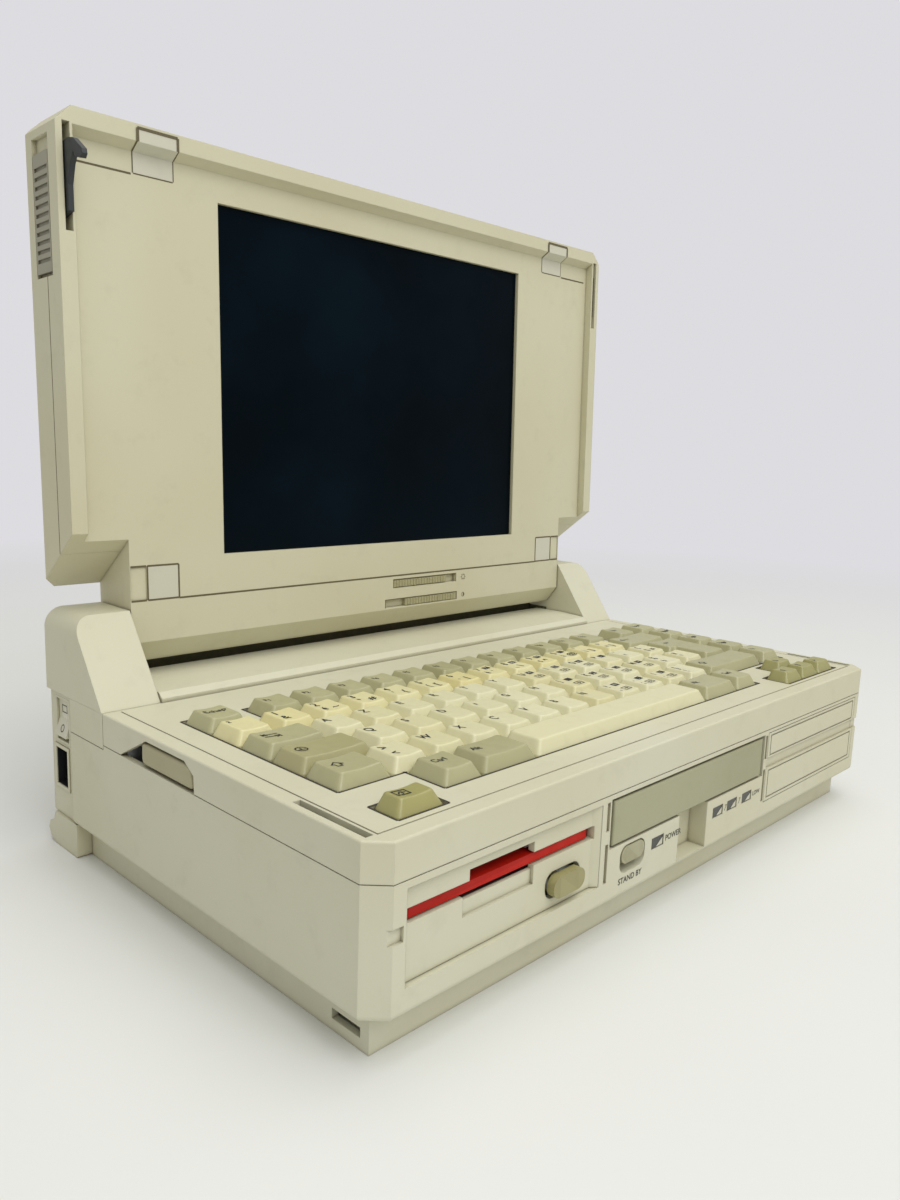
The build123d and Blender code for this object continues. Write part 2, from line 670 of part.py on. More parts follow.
with BuildPart() as keyboard_housing:
    slab(plan(0, 0, keyboard_depth, corner_cut), (base_rim, keyboard_top))
    top_edges = keyboard_housing.faces().sort_by(Axis.Z)[-1].edges()
    fillet(top_edges, radius=0.8)
    slab(plan(wall, wall, keyboard_depth - wall, corner_cut - wall / 2),
         (base_rim - 1, shell_inside), Mode.SUBTRACT)
    for left, right, near, far in fields:
        block((left - margin, right + margin), span(near - margin, far + margin),
              (shell_inside - 1, keyboard_top + 1), Mode.SUBTRACT)
    # Latch slots with the bar that each hook catches, and the side release notches
    for x in both_sides(*latch_x):
        block(x, span(latch_front, latch_rear), (shell_inside - 1, keyboard_top + 1), Mode.SUBTRACT)
    for x in both_sides(latch_x[0] - 1.5, tub_inside):
        slab(catch_bar, x, plane=Plane.YZ)
    for x in both_sides(latch_x[0] - 2.7, latch_x[0] - 0.2):
        block(x, span(17.4, 28), (62.4, keyboard_top - 1))
    for x in both_sides(half - wall - 1, half + 1):
        slab(release_notch, x, Mode.SUBTRACT, Plane.YZ)
    for x in both_sides(163.4, 164.9):
        block(x, span(90, 152), (60.5, shell_inside))
    for x in both_sides(162, 166):
        bar((deep(114), 63.0), 1.8 + running_fit, x, Mode.SUBTRACT, Plane.YZ)
    # Shallow line round the key area
    for x in both_sides(164.4, 165.0):
        block(x, span(7.0, 161.5), (keyboard_top - 0.5, keyboard_top + 1), Mode.SUBTRACT)
    block((-164.4, 164.4), span(7.0, 7.6), (keyboard_top - 0.5, keyboard_top + 1), Mode.SUBTRACT)
save(keyboard_housing.part, "keyboard_housing")

tray_half = 162.6
with BuildPart() as keyboard_tray:
    block((-tray_half, tray_half), span(3.4, 160), (base_rim + 0.4, base_rim + 0.4 + tray_sheet))
    for x in both_sides(140, 146):
        for y in (3.8, 150):
            block(x, span(y, y + 3.6), (base_rim + 1, shell_inside))
save(keyboard_tray.part, "keyboard_tray")

plate_low = 63.1
all_cells = [cell for cells in key_sets.values() for cell in cells]
stem_centres = [
    (left + along / 2, near + across / 2) for left, near, along, across in all_cells
]
enter_stem = (enter_tall[0] + enter_tall[2] / 2, enter_tall[1] + unit)
stem_centres.append(enter_stem)

with BuildPart() as key_plate:
    with BuildSketch(Plane.XY.offset(plate_low)) as plate_outline:
        with Locations((0.5, deep(74))):
            Rectangle(315, 132)
        for x, y in stem_centres:
            with Locations((x, deep(y))):
                Rectangle(stem_side + 0.16, stem_side + 0.16, mode=Mode.SUBTRACT)
    extrude(plate_outline.sketch, amount=plate_thickness)
    for x in (-157, 158):
        for y in (8.5, 137):
            block((x - 1, x + 1), span(y, y + 3), (base_rim + 0.4 + tray_sheet, plate_low + 1))
save(key_plate.part, "key_plate")


def keycap(along, across):
    """A cap with sloped sides and a dished top, its front left cell corner at the origin."""
    low = keyboard_top - key_skirt
    high = keyboard_top + key_rise
    foot = (along - key_gap, across - key_gap)
    depth_taper = (key_front_taper + key_back_taper) * min(1.0, across / unit)
    top = (along - key_gap - 2 * key_side_taper, across - key_gap - depth_taper)
    shift = (key_back_taper - key_front_taper) / 2 * min(1.0, across / unit)
    with BuildPart() as cap:
        with BuildSketch(Plane.XY.offset(low)) as foot_sketch:
            with Locations((along / 2, across / 2)):
                RectangleRounded(*foot, 0.8)
        with BuildSketch(Plane.XY.offset(high)) as top_sketch:
            with Locations((along / 2, across / 2 - shift)):
                RectangleRounded(*top, 1.2)
        loft([foot_sketch.sketch.face(), top_sketch.sketch.face()], ruled=True)
        if across > cursor_depth:
            radius = dish_radius if along < 3 * unit else 2 * dish_radius
            with BuildSketch(Plane.XZ.offset(-across - 1)) as dish:
                with Locations((along / 2, high + radius - dish_depth)):
                    Circle(radius)
                with Locations((along / 2, high + radius)):
                    Rectangle(along - 2 * key_side_taper - key_gap, 2 * radius,
                              mode=Mode.INTERSECT)
            if along < 3 * unit:
                extrude(dish.sketch, amount=across + 2, mode=Mode.SUBTRACT)
        block((along / 2 - stem_side / 2, along / 2 + stem_side / 2),
              (across / 2 - stem_side / 2, across / 2 + stem_side / 2), (plate_low - 0.2, low))
    return cap.part


caps = {}
for cells in key_sets.values():
    for left, near, along, across in cells:
        caps.setdefault((round(along, 3), round(across, 3)), keycap(along, across))

for name, cells in key_sets.items():
    with BuildPart() as keys:
        for left, near, along, across in cells:
            cap = caps[(round(along, 3), round(across, 3))]
            add(cap.moved(Location((left, deep(near), 0))))
    save(keys.part, name)

with BuildPart() as enter_key:
    add(keycap(enter_tall[2], enter_tall[3]).moved(Location((enter_tall[0], deep(enter_tall[1]), 0))))
    with BuildSketch(Plane.XY.offset(keyboard_top - key_skirt)) as wide_foot:
        with Locations((enter_wide[0] + enter_wide[2] / 2, deep(enter_wide[1] + unit / 2))):
            RectangleRounded(enter_wide[2] - key_gap, unit - key_gap, 0.8)
    with BuildSketch(Plane.XY.offset(keyboard_top + key_rise - dish_depth)) as wide_top:
        with Locations((enter_wide[0] + enter_wide[2] / 2, deep(enter_wide[1] + unit / 2 - 0.7))):
            RectangleRounded(enter_wide[2] - key_gap - 2 * key_side_taper, unit - key_gap - 5.3, 1.2)
    loft([wide_foot.sketch.face(), wide_top.sketch.face()], ruled=True)
save(enter_key.part, "enter_key")

# Release buttons in the keyboard unit's side walls
release_face = [
    (deep(133), base_rim + seam), (deep(133), 65.3), (deep(129.4), 67.2), (deep(102), 67.4),
    (deep(96), 63.8), (deep(95.5), base_rim + seam),
]
with BuildPart() as right_release:
    slab(release_face, (168.5, half), plane=Plane.YZ)
    bar((deep(114), 63.0), 1.8, (161.5, 168.5), plane=Plane.YZ)
save(right_release.part, "right_release_button")
save(right_release.part.mirror(Plane.YZ), "left_release_button")


# Display lid
def ear_line(out):
    """Height up the lid of the ears' lower edge, at a distance out from the hinge axis."""
    return ear_back + (out + lid_back) * ear_slope


lid_outline = [
    (-half, -20), (-half, lid_length - lid_corner_cut), (-half + lid_corner_cut, lid_length),
    (half - lid_corner_cut, lid_length), (half, lid_length - lid_corner_cut), (half, -20),
]
lid_section = [
    (-half, lid_front + 1), (-half, -lid_back + lid_back_cut), (-half + lid_back_cut, -lid_back),
    (half - lid_back_cut, -lid_back), (half, -lid_back + lid_back_cut), (half, lid_front + 1),
]
# The lid seen end on, from above: X to the right and Y out towards the user
lid_end = Plane(
    origin=(0, hinge_y, hinge_height), x_dir=(1, 0, 0), z_dir=(0, -sin(tilt), -cos(tilt))
)
slide_x = (half - 2.0, half)
slide_v = (146.5, 191.0)
slide_w = (0.4, 14.2)
slide_recess_v = (145.0, 197.0)
slide_recess_w = (0.0, 14.6)
hook_x = (half - 5.3, half - 3.2)
link_v = (172.0, 180.0)
link_w = (10.6, 13.4)
cover_square = 14.8
square_middle = (130.2, 22.6)

with BuildPart() as lid_rear_cover:
    slab([(-lid_seam_level, ear_line(lid_seam_level)), (-lid_seam_level, lid_length),
          (lid_back - lid_back_cut, lid_length), (lid_back, lid_length - lid_back_cut),
          (lid_back, ear_back)], (-half, half), plane=lid_side)
    slab([(-9.5, -neck_bottom), (3, -neck_bottom), (lid_back, -5), (lid_back, 60),
          (-lid_seam_level, 60), (-lid_seam_level, -12.1)], (-neck_half, neck_half), plane=lid_side)
    slab(lid_outline, (-lid_back - 1, lid_front), Mode.INTERSECT, lid)
    slab(lid_section, (-lid_length - 1, 20), Mode.INTERSECT, lid_end)
    inside = half - 4.6
    slab([(-lid_seam_level - 1, ear_line(lid_seam_level) + 4), (-lid_seam_level - 1, lid_length - 3),
          (lid_back - 7, lid_length - 3), (lid_back - 2.5, lid_length - 8),
          (lid_back - 2.5, ear_line(-lid_back + 2.5) + 3)], (-inside, inside), Mode.SUBTRACT,
         lid_side)
    block((-neck_half + wall, neck_half - wall), (-9.6, 60), (-8, lid_seam_level + 1),
          Mode.SUBTRACT, lid)
    for x in both_sides(136, neck_half):
        bar((0, 0), 7.6, x, plane=lid_side)
    for x in both_sides(138, neck_half + 1):
        bar((0, 0), pin_radius, x, Mode.SUBTRACT, lid_side)
    for x in both_sides(slide_x[0], half + 1):
        block(x, slide_recess_v, (slide_recess_w[0], lid_seam_level + 1), Mode.SUBTRACT, lid)
    for x in (-square_middle[0], square_middle[0]):
        bar((x, square_middle[1]), 4.0, (-8.5, lid_seam_level), plane=lid)
        bar((x, square_middle[1]), 1.5, (-6, lid_seam_level + 1), Mode.SUBTRACT, lid)
save(lid_rear_cover.part, "lid_rear_cover")

slot_upper = ((4.2, 51.8), (8.3, 12.8))
slot_lower = ((-1.5, 52.6), (-2.1, 2.2))
pad_x = (121.0, 138.5)
lip = lid_length - rim_top - lip_draft

with BuildPart() as lid_bezel:
    slab([(-lid_seam_level, ear_line(lid_seam_level)), (-lid_seam_level, lid_length),
          (-lid_front, lid_length), (-lid_front, ear_line(lid_front))], (-half, half),
         plane=lid_side)
    slab([(-lid_seam_level, -12.1), (-lid_seam_level, 60), (-face, 60), (-face, -3)],
         (-neck_half, neck_half), plane=lid_side)
    slab(lid_outline, (0, lid_front), Mode.INTERSECT, lid)
    rim_inside = half - rim_side
    slab([(-face, -30), (-face, lip), (-lid_front - 0.5, lip + lip_draft + 0.3),
          (-lid_front - 0.5, -30)], (-rim_inside, rim_inside), Mode.SUBTRACT, lid_side)
    # Hollow behind the face, and behind the rim above it
    slab([(-lid_seam_level + 1, ear_line(lid_seam_level) + 4), (-lid_seam_level + 1, lid_length - 2.6),
          (-lid_front + 2.4, lid_length - 2.6), (-lid_front + 2.4, lip + 3.2), (-skin_back, lip - 1),
          (-skin_back, ear_line(skin_back) + 3)], (-rim_inside + 1.4, rim_inside - 1.4),
         Mode.SUBTRACT, lid_side)
    slab([(-lid_seam_level + 1, -9.6), (-lid_seam_level + 1, 50), (-skin_back, 50),
          (-skin_back, -2.4)], (-neck_half + wall, neck_half - wall),
         Mode.SUBTRACT, lid_side)
    block((-screen_half, screen_half), (screen_bottom, screen_top), (0, lid_front), Mode.SUBTRACT,
          lid)
    for x, v in (slot_upper, slot_lower):
        block(x, v, (skin_back - 1, face + 1), Mode.SUBTRACT, lid)
    # Channels for the latch hooks and recesses for their slides
    for x in both_sides(half - 5.6, half - 2.7):
        block(x, (161, 200.4), (lid_seam_level - 1, lid_front + 1), Mode.SUBTRACT, lid)
    for x in both_sides(slide_x[0], half + 1):
        block(x, slide_recess_v, (lid_seam_level - 1, slide_recess_w[1]), Mode.SUBTRACT, lid)
    for x in both_sides(half - 3.5, half + 1):
        block(x, (link_v[0] - 0.5, link_v[1] + 0.5 + latch_travel), (link_w[0] - 0.4, link_w[1] + 0.4),
              Mode.SUBTRACT, lid)
    # Screw bosses behind the face, screw holes and pockets for the covers
    for x in (-square_middle[0], square_middle[0]):
        bar((x, square_middle[1]), 4.0, (lid_seam_level, skin_back), plane=lid)
        bar((x, square_middle[1]), 1.6, (0, lid_front), Mode.SUBTRACT, lid)
        bar((x, square_middle[1]), 3.0, (13.6, lid_front), Mode.SUBTRACT, lid)
        block((x - cover_square / 2, x + cover_square / 2),
              (square_middle[1] - cover_square / 2, square_middle[1] + cover_square / 2),
              (face - 1.2, lid_front), Mode.SUBTRACT, lid)
    for x in both_sides(138.1, 145.2):
        block(x, (15.2, 30), (face - 0.5, lid_front), Mode.SUBTRACT, lid)
    for x in both_sides(pad_x[0] - 0.1, pad_x[1] + 0.1):
        slab([(-face + 0.8, 188.9), (-face + 0.8, lip + 0.5), (-lid_front + 0.7, lip + lip_draft + 0.5),
              (-lid_front + 0.7, 204.9), (-lid_front - 1, 204.9), (-lid_front - 1, 188.9)], x,
             Mode.SUBTRACT, lid_side)
    # Fine lines in the face
    for x in both_sides(139.5, 162.3):
        block(x, (188.1, 188.7), (face - 0.5, face + 1), Mode.SUBTRACT, lid)
    block((-122.7, 122.7), (14.7, 15.3), (face - 0.5, face + 1), Mode.SUBTRACT, lid)
save(lid_bezel.part, "lid_bezel")

with BuildPart() as lcd_panel:
    block((-screen_half - 6, screen_half + 6), (screen_bottom - 5, screen_top + 5),
          (3.0, skin_back), plane=lid)
    block((-screen_half - 2, screen_half + 2), (screen_bottom - 2, screen_top + 2),
          (-5.0, 3.0), plane=lid)
save(lcd_panel.part, "lcd_panel")

with BuildPart() as inverter_board:
    block((-60, 60), (-7, 22), (-7.9, -6.4), plane=lid)
    block((-50, -20), (-2, 16), (-6.4, 4), plane=lid)
    block((-5, 40), (0, 14), (-6.4, 0), plane=lid)
save(inverter_board.part, "inverter_board")

with BuildPart() as lid_screws:
    for x in (-square_middle[0], square_middle[0]):
        bar((x, square_middle[1]), 2.8, (13.6, 15.4), plane=lid)
        bar((x, square_middle[1]), 1.5, (-5.8, 13.6), plane=lid)
save(lid_screws.part, "lid_screws")

with BuildPart() as screw_covers:
    for x in (-square_middle[0], square_middle[0]):
        block((x - cover_square / 2 + 0.1, x + cover_square / 2 - 0.1),
              (square_middle[1] - cover_square / 2 + 0.1, square_middle[1] + cover_square / 2 - 0.1),
              (face - 1.2, face), plane=lid)
    for x in both_sides(*pad_x):
        slab([(-face + 0.8, 189), (-face + 0.8, lip + 0.5), (-lid_front + 0.7, lip + lip_draft + 0.5),
              (-lid_front + 0.7, 204.8), (-lid_front - 0.2, 204.8),
              (-lid_front - 0.2, lip + lip_draft - 0.2), (-face - 0.1, lip - 0.2),
              (-face - 0.1, 189)], x, plane=lid_side)
save(screw_covers.part, "screw_covers")


def slider(name, left, middle, flange):
    """A flat slide that shows through a slot in the bezel and is held behind it."""
    with BuildPart() as piece:
        block((left, left + slider_length), (middle - 1.9, middle + 1.9), (12.6, face - 0.2), plane=lid)
        block((left + 4, left + slider_length - 4), (middle - flange, middle + flange),
              (12.6, skin_back - gap), plane=lid)
        for x in range(4):
            block((left + 14 + x * 3, left + 15.2 + x * 3), (middle - 2, middle + 2),
                  (face - 0.7, face), Mode.SUBTRACT, lid)
    save(piece.part, name)


slider("brightness_slider", 4.5, 10.55, 3.0)
slider("contrast_slider", 12.8, 0.05, 2.5)

# Lid latches: a ribbed slide in each side of the lid, and the hook behind it
hook_outline = [
    (-14.0, 167.8), (-19.5, 192.8), (-24.6, 193.7), (-29.4, 192.7), (-36.5, 187.6), (-36.9, 185.8),
    (-35.6, 184.4), (-30.9, 185.6), (-29.4, 188.1), (-26.5, 184.0), (-23.9, 177.0), (-24.0, 167.8),
]
hook_root = [(-10.2, 166.0), (-10.2, 192.0), (-19.6, 192.8), (-24.0, 177.0), (-24.0, 167.8), (-14.0, 166.0)]
stub_outline = [(-10.2, 166.0), (-10.2, 192.0), (-20.5, 192.0), (-20.5, 168.0), (-14.0, 166.0)]

with BuildPart() as right_slide:
    block((slide_x[0] + 0.3, slide_x[1]), slide_v, slide_w, plane=lid)
    for rib in range(11):
        low = slide_v[0] + 4 + rib * 3.4
        block((slide_x[1] - 0.8, slide_x[1] + 1), (low, low + 1.5), (1.4, 13.2), Mode.SUBTRACT, lid)
    block((hook_x[1], slide_x[0] + 0.3), link_v, link_w, plane=lid)
save(right_slide.part, "right_latch_slide")
save(right_slide.part.mirror(Plane.YZ), "left_latch_slide")

with BuildPart() as left_hook:
    slab(hook_root, (-hook_x[1], -hook_x[0]), plane=lid_side)
    slab(hook_outline, (-hook_x[1], -hook_x[0]), plane=lid_side)
save(left_hook.part, "left_latch_hook")

with BuildPart() as right_hook:
    slab(stub_outline, hook_x, plane=lid_side)
save(right_hook.part, "right_latch_hook")
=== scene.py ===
"""Looks for a portable computer of the late 1980s: moulded shells, keycaps with their legends,
the display, the small controls and the stage. Metres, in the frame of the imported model."""

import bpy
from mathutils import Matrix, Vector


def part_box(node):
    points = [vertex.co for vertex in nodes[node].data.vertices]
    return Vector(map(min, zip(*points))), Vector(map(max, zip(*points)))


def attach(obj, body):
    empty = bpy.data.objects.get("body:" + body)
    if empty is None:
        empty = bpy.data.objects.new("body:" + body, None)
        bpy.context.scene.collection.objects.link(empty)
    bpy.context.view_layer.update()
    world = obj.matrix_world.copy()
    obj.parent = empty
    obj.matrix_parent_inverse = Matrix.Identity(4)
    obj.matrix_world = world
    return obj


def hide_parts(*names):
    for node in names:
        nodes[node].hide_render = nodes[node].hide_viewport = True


bl_info = {
    "name": "Portable computer looks",
    "version": (1, 0, 0),
    "blender": (4, 5, 0),
    "location": "View3D > Sidebar > Computer",
    "description": "Dresses the packed portable computer and sets its stage",
    "category": "Object",
}

from math import cos, radians, sin

import bmesh
import bpy
from mathutils import Matrix, Vector

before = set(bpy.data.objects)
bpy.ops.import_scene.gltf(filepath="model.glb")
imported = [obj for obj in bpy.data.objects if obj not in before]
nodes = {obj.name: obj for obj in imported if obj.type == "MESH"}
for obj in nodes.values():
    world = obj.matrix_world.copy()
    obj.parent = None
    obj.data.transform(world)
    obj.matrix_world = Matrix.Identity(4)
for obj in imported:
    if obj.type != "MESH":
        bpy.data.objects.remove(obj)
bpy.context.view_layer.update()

MM = 0.001

# Places that the keycaps, legends and marks are set out from, in millimetres. Depths are
# counted back from the front face, as in the model's own source.
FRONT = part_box("keyboard_housing")[0].y / MM
HINGE_BACK = 206.5
HINGE_HEIGHT = 93.0
TILT = radians(1.4)
FACE = 17.2

# Keycaps: their grid, their heights, how far each side leans in from foot to top, their rounded
# corners and edges, and the rings of points inside the top's edge
PITCH = 19.05
KEYS_LEFT = -153.2
KEYS_FRONT = 20.3
KEYS_RIGHT = KEYS_LEFT + 15 * PITCH
FUNCTION_LEFT = KEYS_LEFT + PITCH + 8.35
NAVIGATION_LEFT = KEYS_RIGHT + 3.1
CURSOR_LEFT = 101.0
CURSOR_PITCH = 18.0
CURSOR_DEPTH = 12.6
CURSOR_FRONT = 10.3
FN_KEY_LEFT = KEYS_LEFT - 0.4
FN_KEY_FRONT = CURSOR_FRONT + 0.6
CAP_GAP = 0.6
CAP_FOOT = 67.9
SKIRT_TOP = 70.1
FUNCTION_WIDTH = 20.4
CAP_TOP = 75.3
SIDE_LEAN = 3.0
FRONT_LEAN = 2.3
BACK_LEAN = 1.3
FOOT_ROUND = 3.0
TOP_ROUND = 2.0
EDGE_SOFT = 0.65
TOP_RINGS = (0.93, 0.75, 0.5, 0.22)
LONG_KEY = 3 * PITCH


def linear(hex_colour):
    """Turns an sRGB hex colour into the three linear values that Blender's colours hold."""
    values = [int(hex_colour[place:place + 2], 16) / 255 for place in (1, 3, 5)]
    return tuple(v / 12.92 if v <= 0.04045 else ((v + 0.055) / 1.055) ** 2.4 for v in values)


def at(x, back, height):
    """A point in metres, from millimetres across, behind the front face and up."""
    return Vector((x, FRONT + back, height)) * MM


def on_lid(x, up, out):
    """A point in metres, from millimetres across, up the lid and out from its hinge axis."""
    back = HINGE_BACK - out * cos(TILT) + up * sin(TILT)
    return at(x, back, HINGE_HEIGHT + out * sin(TILT) + up * cos(TILT))


# The front: its words with their sizes and places, the strokes between its lamps, and the glint
# in each lamp's window
FRONT_WORDS = [("POWER", 3.3, -20.9, 28.9), ("STAND BY", 3.3, -52.2, 20.4),
               ("LOW", 2.8, 51.2, 29.2)]
STROKE_PLACES = [26.2, 38.4]
STROKE = [(0, 0), (1.4, 2.2), (0.4, 2.2)]
LAMP_PLACES = [-26.3, 20.4, 32.6, 45.8]
GLINT = [(-0.6, -1.9), (3.8, -1.9), (3.8, 0.9), (1.6, -0.4)]

# The lid: its sloping rim and its front, then the pads, square covers, lines and slots on its
# face, as places across and up the lid
RIM_FOOT = 197.10
RIM_RISE = 2.80
LID_FRONT = 21.90
PAD_ACROSS = (121.0, 138.5)
PAD_LOW = 189.0
PAD_CREST = 204.9
SQUARE_COVER = ((130.2, 22.6), 14.8)
FACE_LINES = [((139.5, 188.4), (162.3, 188.4)), ((-162.3, 188.4), (-139.5, 188.4)),
              ((-122.7, 15.0), (122.7, 15.0))]
FACE_LINES += [((side * 138.1, rise), (side * 145.2, rise)) for side in (-1, 1)
               for rise in (15.2, 30.0)]
SLOTS = [((4.2, 51.8), (8.3, 12.8)), ((-1.5, 52.6), (-2.1, 2.2))]

# Where the lid's two shells meet at its sides: how far out, from where to where, and half the
# gap, which is drawn as a line of painted shade. The line lies a hair outside the flat side, so
# that it shows.
SHELL_SEAM = (9.8, 36.5, 145.0)
SHELL_GAP_HALF = 0.3
LID_SIDE = 171.502

# How far the painted shade in the grooves lies above the face and the rim, and how wide it is in
# each kind of line
SHADE_LIFT = 0.04
RIM_SHADE_LIFT = 0.3
PAD_LINE = 1.0
RIM_LINE = 1.2
FACE_LINE = 0.8
SLOT_LINE = 0.4

# The rocker: its pivot, its turn, how far out its edges lie, its hollow and half its height
ROCKER_PIVOT = (-164.0, 204.3, 57.8)
ROCKER_TURN = radians(8)
ROCKER_OUT = 6.2
ROCKER_HOLLOW = 1.3
ROCKER_HALF = 7.8
INLET_RIM = 1.6

# The release buttons: their sides, outline, half length and height and corners, and how far in
# and how far out each ring of points lies
RELEASES = [(-1, "left_release_button", "left_release"),
            (1, "right_release_button", "right_release")]
RELEASE_MIDDLE = Vector((114.3, 62.7))
RELEASE_OUTLINE = [(132.5, 58.5), (132.5, 66.9), (97.5, 66.9), (96.2, 58.5)]
RELEASE_HALF = (18.2, 4.2)
RELEASE_ROUND = 3.6
RELEASE_RINGS = [(0.0, 168.6), (0.0, 170.5), (0.3, 171.1), (0.9, 171.35)]

# The dark strip of painted shade under the lid's neck: half its length, its section, and its blocks
# at the ends
NECK_SHADE_HALF = 146.0
NECK_SHADE_SECTION = [(211.2, 69.0), (211.2, 76.4), (211.5, 77.0), (212.3, 77.0), (212.3, 69.0)]
NECK_SHADE_END_THICKNESS = 0.3
NECK_SHADE_END = ((197.0, 211.0), (70.0, 76.2))

# The sliders: node, body, rise, left end, then the ends and the half width of the skirt
# behind the slot
SLIDER_LENGTH = 39.6
SLIDER_RIBS = 18
SLIDERS = [("brightness_slider", "brightness", 10.55, 4.5, (-4.0, 53.0), 3.4),
           ("contrast_slider", "contrast", 0.05, 12.8, (-3.0, 68.0), 2.4)]
SLIDER_SIGNS = [(58.0, 10.5), (58.0, 0.2)]

# Legends: how high they lie above a cap and the pale figures above them, their sizes, and where
# a line mark stands on a cap and how much larger it is drawn. Then the band of painted shade
# round the key fields, where the gap lies in shadow.
LEGEND_LIFT = 0.1
FIGURE_LIFT = 0.04
FIGURE_SIZE = 3.4
FIGURE_SQUARE = 3.3
LOWER_DROP = 10.8
MARK_WEIGHT = 0.5
SHALLOW_MARK = (0.2, -4.4, 1.15)
FULL_MARK = (1.0, -7.4, 1.35)
GAP_SHADE_OUTSIDE = 0.55
GAP_SHADE_WEIGHT = 0.9

# The stage: the lamps' places, sizes and watts, and the camera's place and turn
LAMPS = [("window_light", (-0.4, -1.6, 1.9), 1.6, 25.0),
         ("ceiling_light", (0.3, -0.3, 2.0), 1.8, 19.0)]
CAMERA_PLACE = (-329.92, -179.15, 179.73)
CAMERA_ANGLES = (45.7, -9.53, 2.02)


# Materials

ABS_INDEX = 1.53
GRAIN_RELIEF = 0.0002
EDGE_ROUND = 0.5 * MM
# How far the painted shade in seams and inner corners reaches, and the brown it darkens to, which
# is also the colour of the dirt there
SEAM_SHADE_REACH = 2.2 * MM
BROWN_SHADE_AND_GRIME = (0.3, 0.25, 0.17)


def wire(tree, node, sockets):
    """Gives each named socket of a node a value or a link."""
    for socket, value in sockets.items():
        if isinstance(value, bpy.types.NodeSocket):
            tree.links.new(value, node.inputs[socket])
        else:
            node.inputs[socket].default_value = value


def put(tree, kind, sockets=None, **settings):
    """Adds a node, sets its options, and gives each named socket a value or a link."""
    node = tree.nodes.new(kind)
    for option, value in settings.items():
        setattr(node, option, value)
    wire(tree, node, sockets or {})
    return node


def new_finish(name):
    """An empty material with its surface shader and object coordinates."""
    material = bpy.data.materials.new(name)
    material.use_nodes = True
    tree = material.node_tree
    tree.nodes.clear()
    output = put(tree, "ShaderNodeOutputMaterial")
    shader = put(tree, "ShaderNodeBsdfPrincipled")
    wire(tree, output, {"Surface": shader.outputs["BSDF"]})
    place = put(tree, "ShaderNodeTexCoord").outputs["Object"]
    return material, tree, shader, place


def scaled(colour, share):
    """A colour made darker or lighter."""
    return tuple(value * share for value in colour)


def blend_colours(tree, share, first, second):
    """The colour between two, by a share from 0 to 1."""
    ends = {socket: value if isinstance(value, bpy.types.NodeSocket) else (*value, 1)
            for socket, value in ((6, first), (7, second))}
    return put(tree, "ShaderNodeMix", {"Factor": share, **ends}, data_type="RGBA").outputs[2]


def remap(tree, value, low, high, new_low, new_high):
    """A value moved from one range to another and held inside it."""
    sockets = {"Value": value, "From Min": low, "From Max": high, "To Min": new_low,
               "To Max": new_high}
    return put(tree, "ShaderNodeMapRange", sockets).outputs["Result"]


def noise(tree, place, scale, detail, roughness=0.5):
    """An uneven pattern from 0 to 1, by its scale in a metre and how fine it goes."""
    sockets = {"Vector": place, "Scale": scale, "Detail": detail, "Roughness": roughness}
    return put(tree, "ShaderNodeTexNoise", sockets).outputs["Fac"]


def raised(tree, height, relief, **sockets):
    """The normal of a surface with a pattern raised on it."""
    sockets.update({"Strength": relief, "Distance": GRAIN_RELIEF, "Height": height})
    return put(tree, "ShaderNodeBump", sockets).outputs["Normal"]


# Each kind of finish gives the values of its shader's sockets

def spark_textured_abs(tree, place, colour, aged, roughness=0.5, grain=0.7, relief=0.10):
    """Moulded ABS from a spark-eroded tool: an even fine grain that breaks up the highlight,
    uneven yellowing over a hand's width, and faint handling marks."""
    yellowing = remap(tree, noise(tree, place, 9.0, 2.0), 0.35, 0.68, 0.0, 1.0)
    tinted = blend_colours(tree, yellowing, colour, aged)
    # Handling marks about 12 mm across, and specks of dirt under a millimetre
    marks = noise(tree, place, 80.0, 5.0, 0.62)
    soiling = remap(tree, marks, 0.56, 0.82, 0.0, 0.16)
    soiled = blend_colours(tree, soiling, tinted, scaled(aged, 0.55))
    # Brown in seams and inner corners, two millimetres deep or so: painted shade where the surface
    # is sheltered, in the brown of the dirt settled there
    crevice_occlusion = put(tree, "ShaderNodeAmbientOcclusion", {"Distance": SEAM_SHADE_REACH}, samples=4)
    crevice_shade_and_grime = remap(tree, crevice_occlusion.outputs["AO"], 0.35, 0.8, 0.62, 0.0)
    shade_and_grime_brown = tuple(v * w for v, w in zip(aged, BROWN_SHADE_AND_GRIME))
    rounded = put(tree, "ShaderNodeBevel", {"Radius": EDGE_ROUND}, samples=4)
    return {
        "Base Color": blend_colours(tree, crevice_shade_and_grime, soiled, shade_and_grime_brown),
        "Roughness": remap(tree, marks, 0.3, 0.7, roughness - 0.05, roughness + 0.06),
        "IOR": ABS_INDEX,
        # The grain is drawn a little coarser than the real 0.3 mm so that it shows
        "Normal": raised(tree, noise(tree, place, 1000.0 / grain, 2.0), relief,
                         Normal=rounded.outputs["Normal"]),
    }


def polished_abs(tree, place, colour, aged, roughness=0.34, index=ABS_INDEX):
    """Moulded ABS worn to a soft shine, as on keycaps: an orange-peel surface a millimetre or
    so across that a highlight just picks out, and yellowing that differs from cap to cap."""
    # Each cap has yellowed by its own amount, which its number as a loose piece stands for
    island = put(tree, "ShaderNodeNewGeometry").outputs["Random Per Island"]
    tinted = blend_colours(tree, island, colour, aged)
    marks = noise(tree, place, 160.0, 4.0)
    soiling = remap(tree, marks, 0.55, 0.85, 0.0, 0.14)
    return {
        "Base Color": blend_colours(tree, soiling, tinted, scaled(aged, 0.5)),
        "Roughness": remap(tree, marks, 0.3, 0.7, roughness - 0.05, roughness + 0.08),
        "IOR": index,
        "Normal": raised(tree, noise(tree, place, 900.0, 1.0), 0.04),
    }


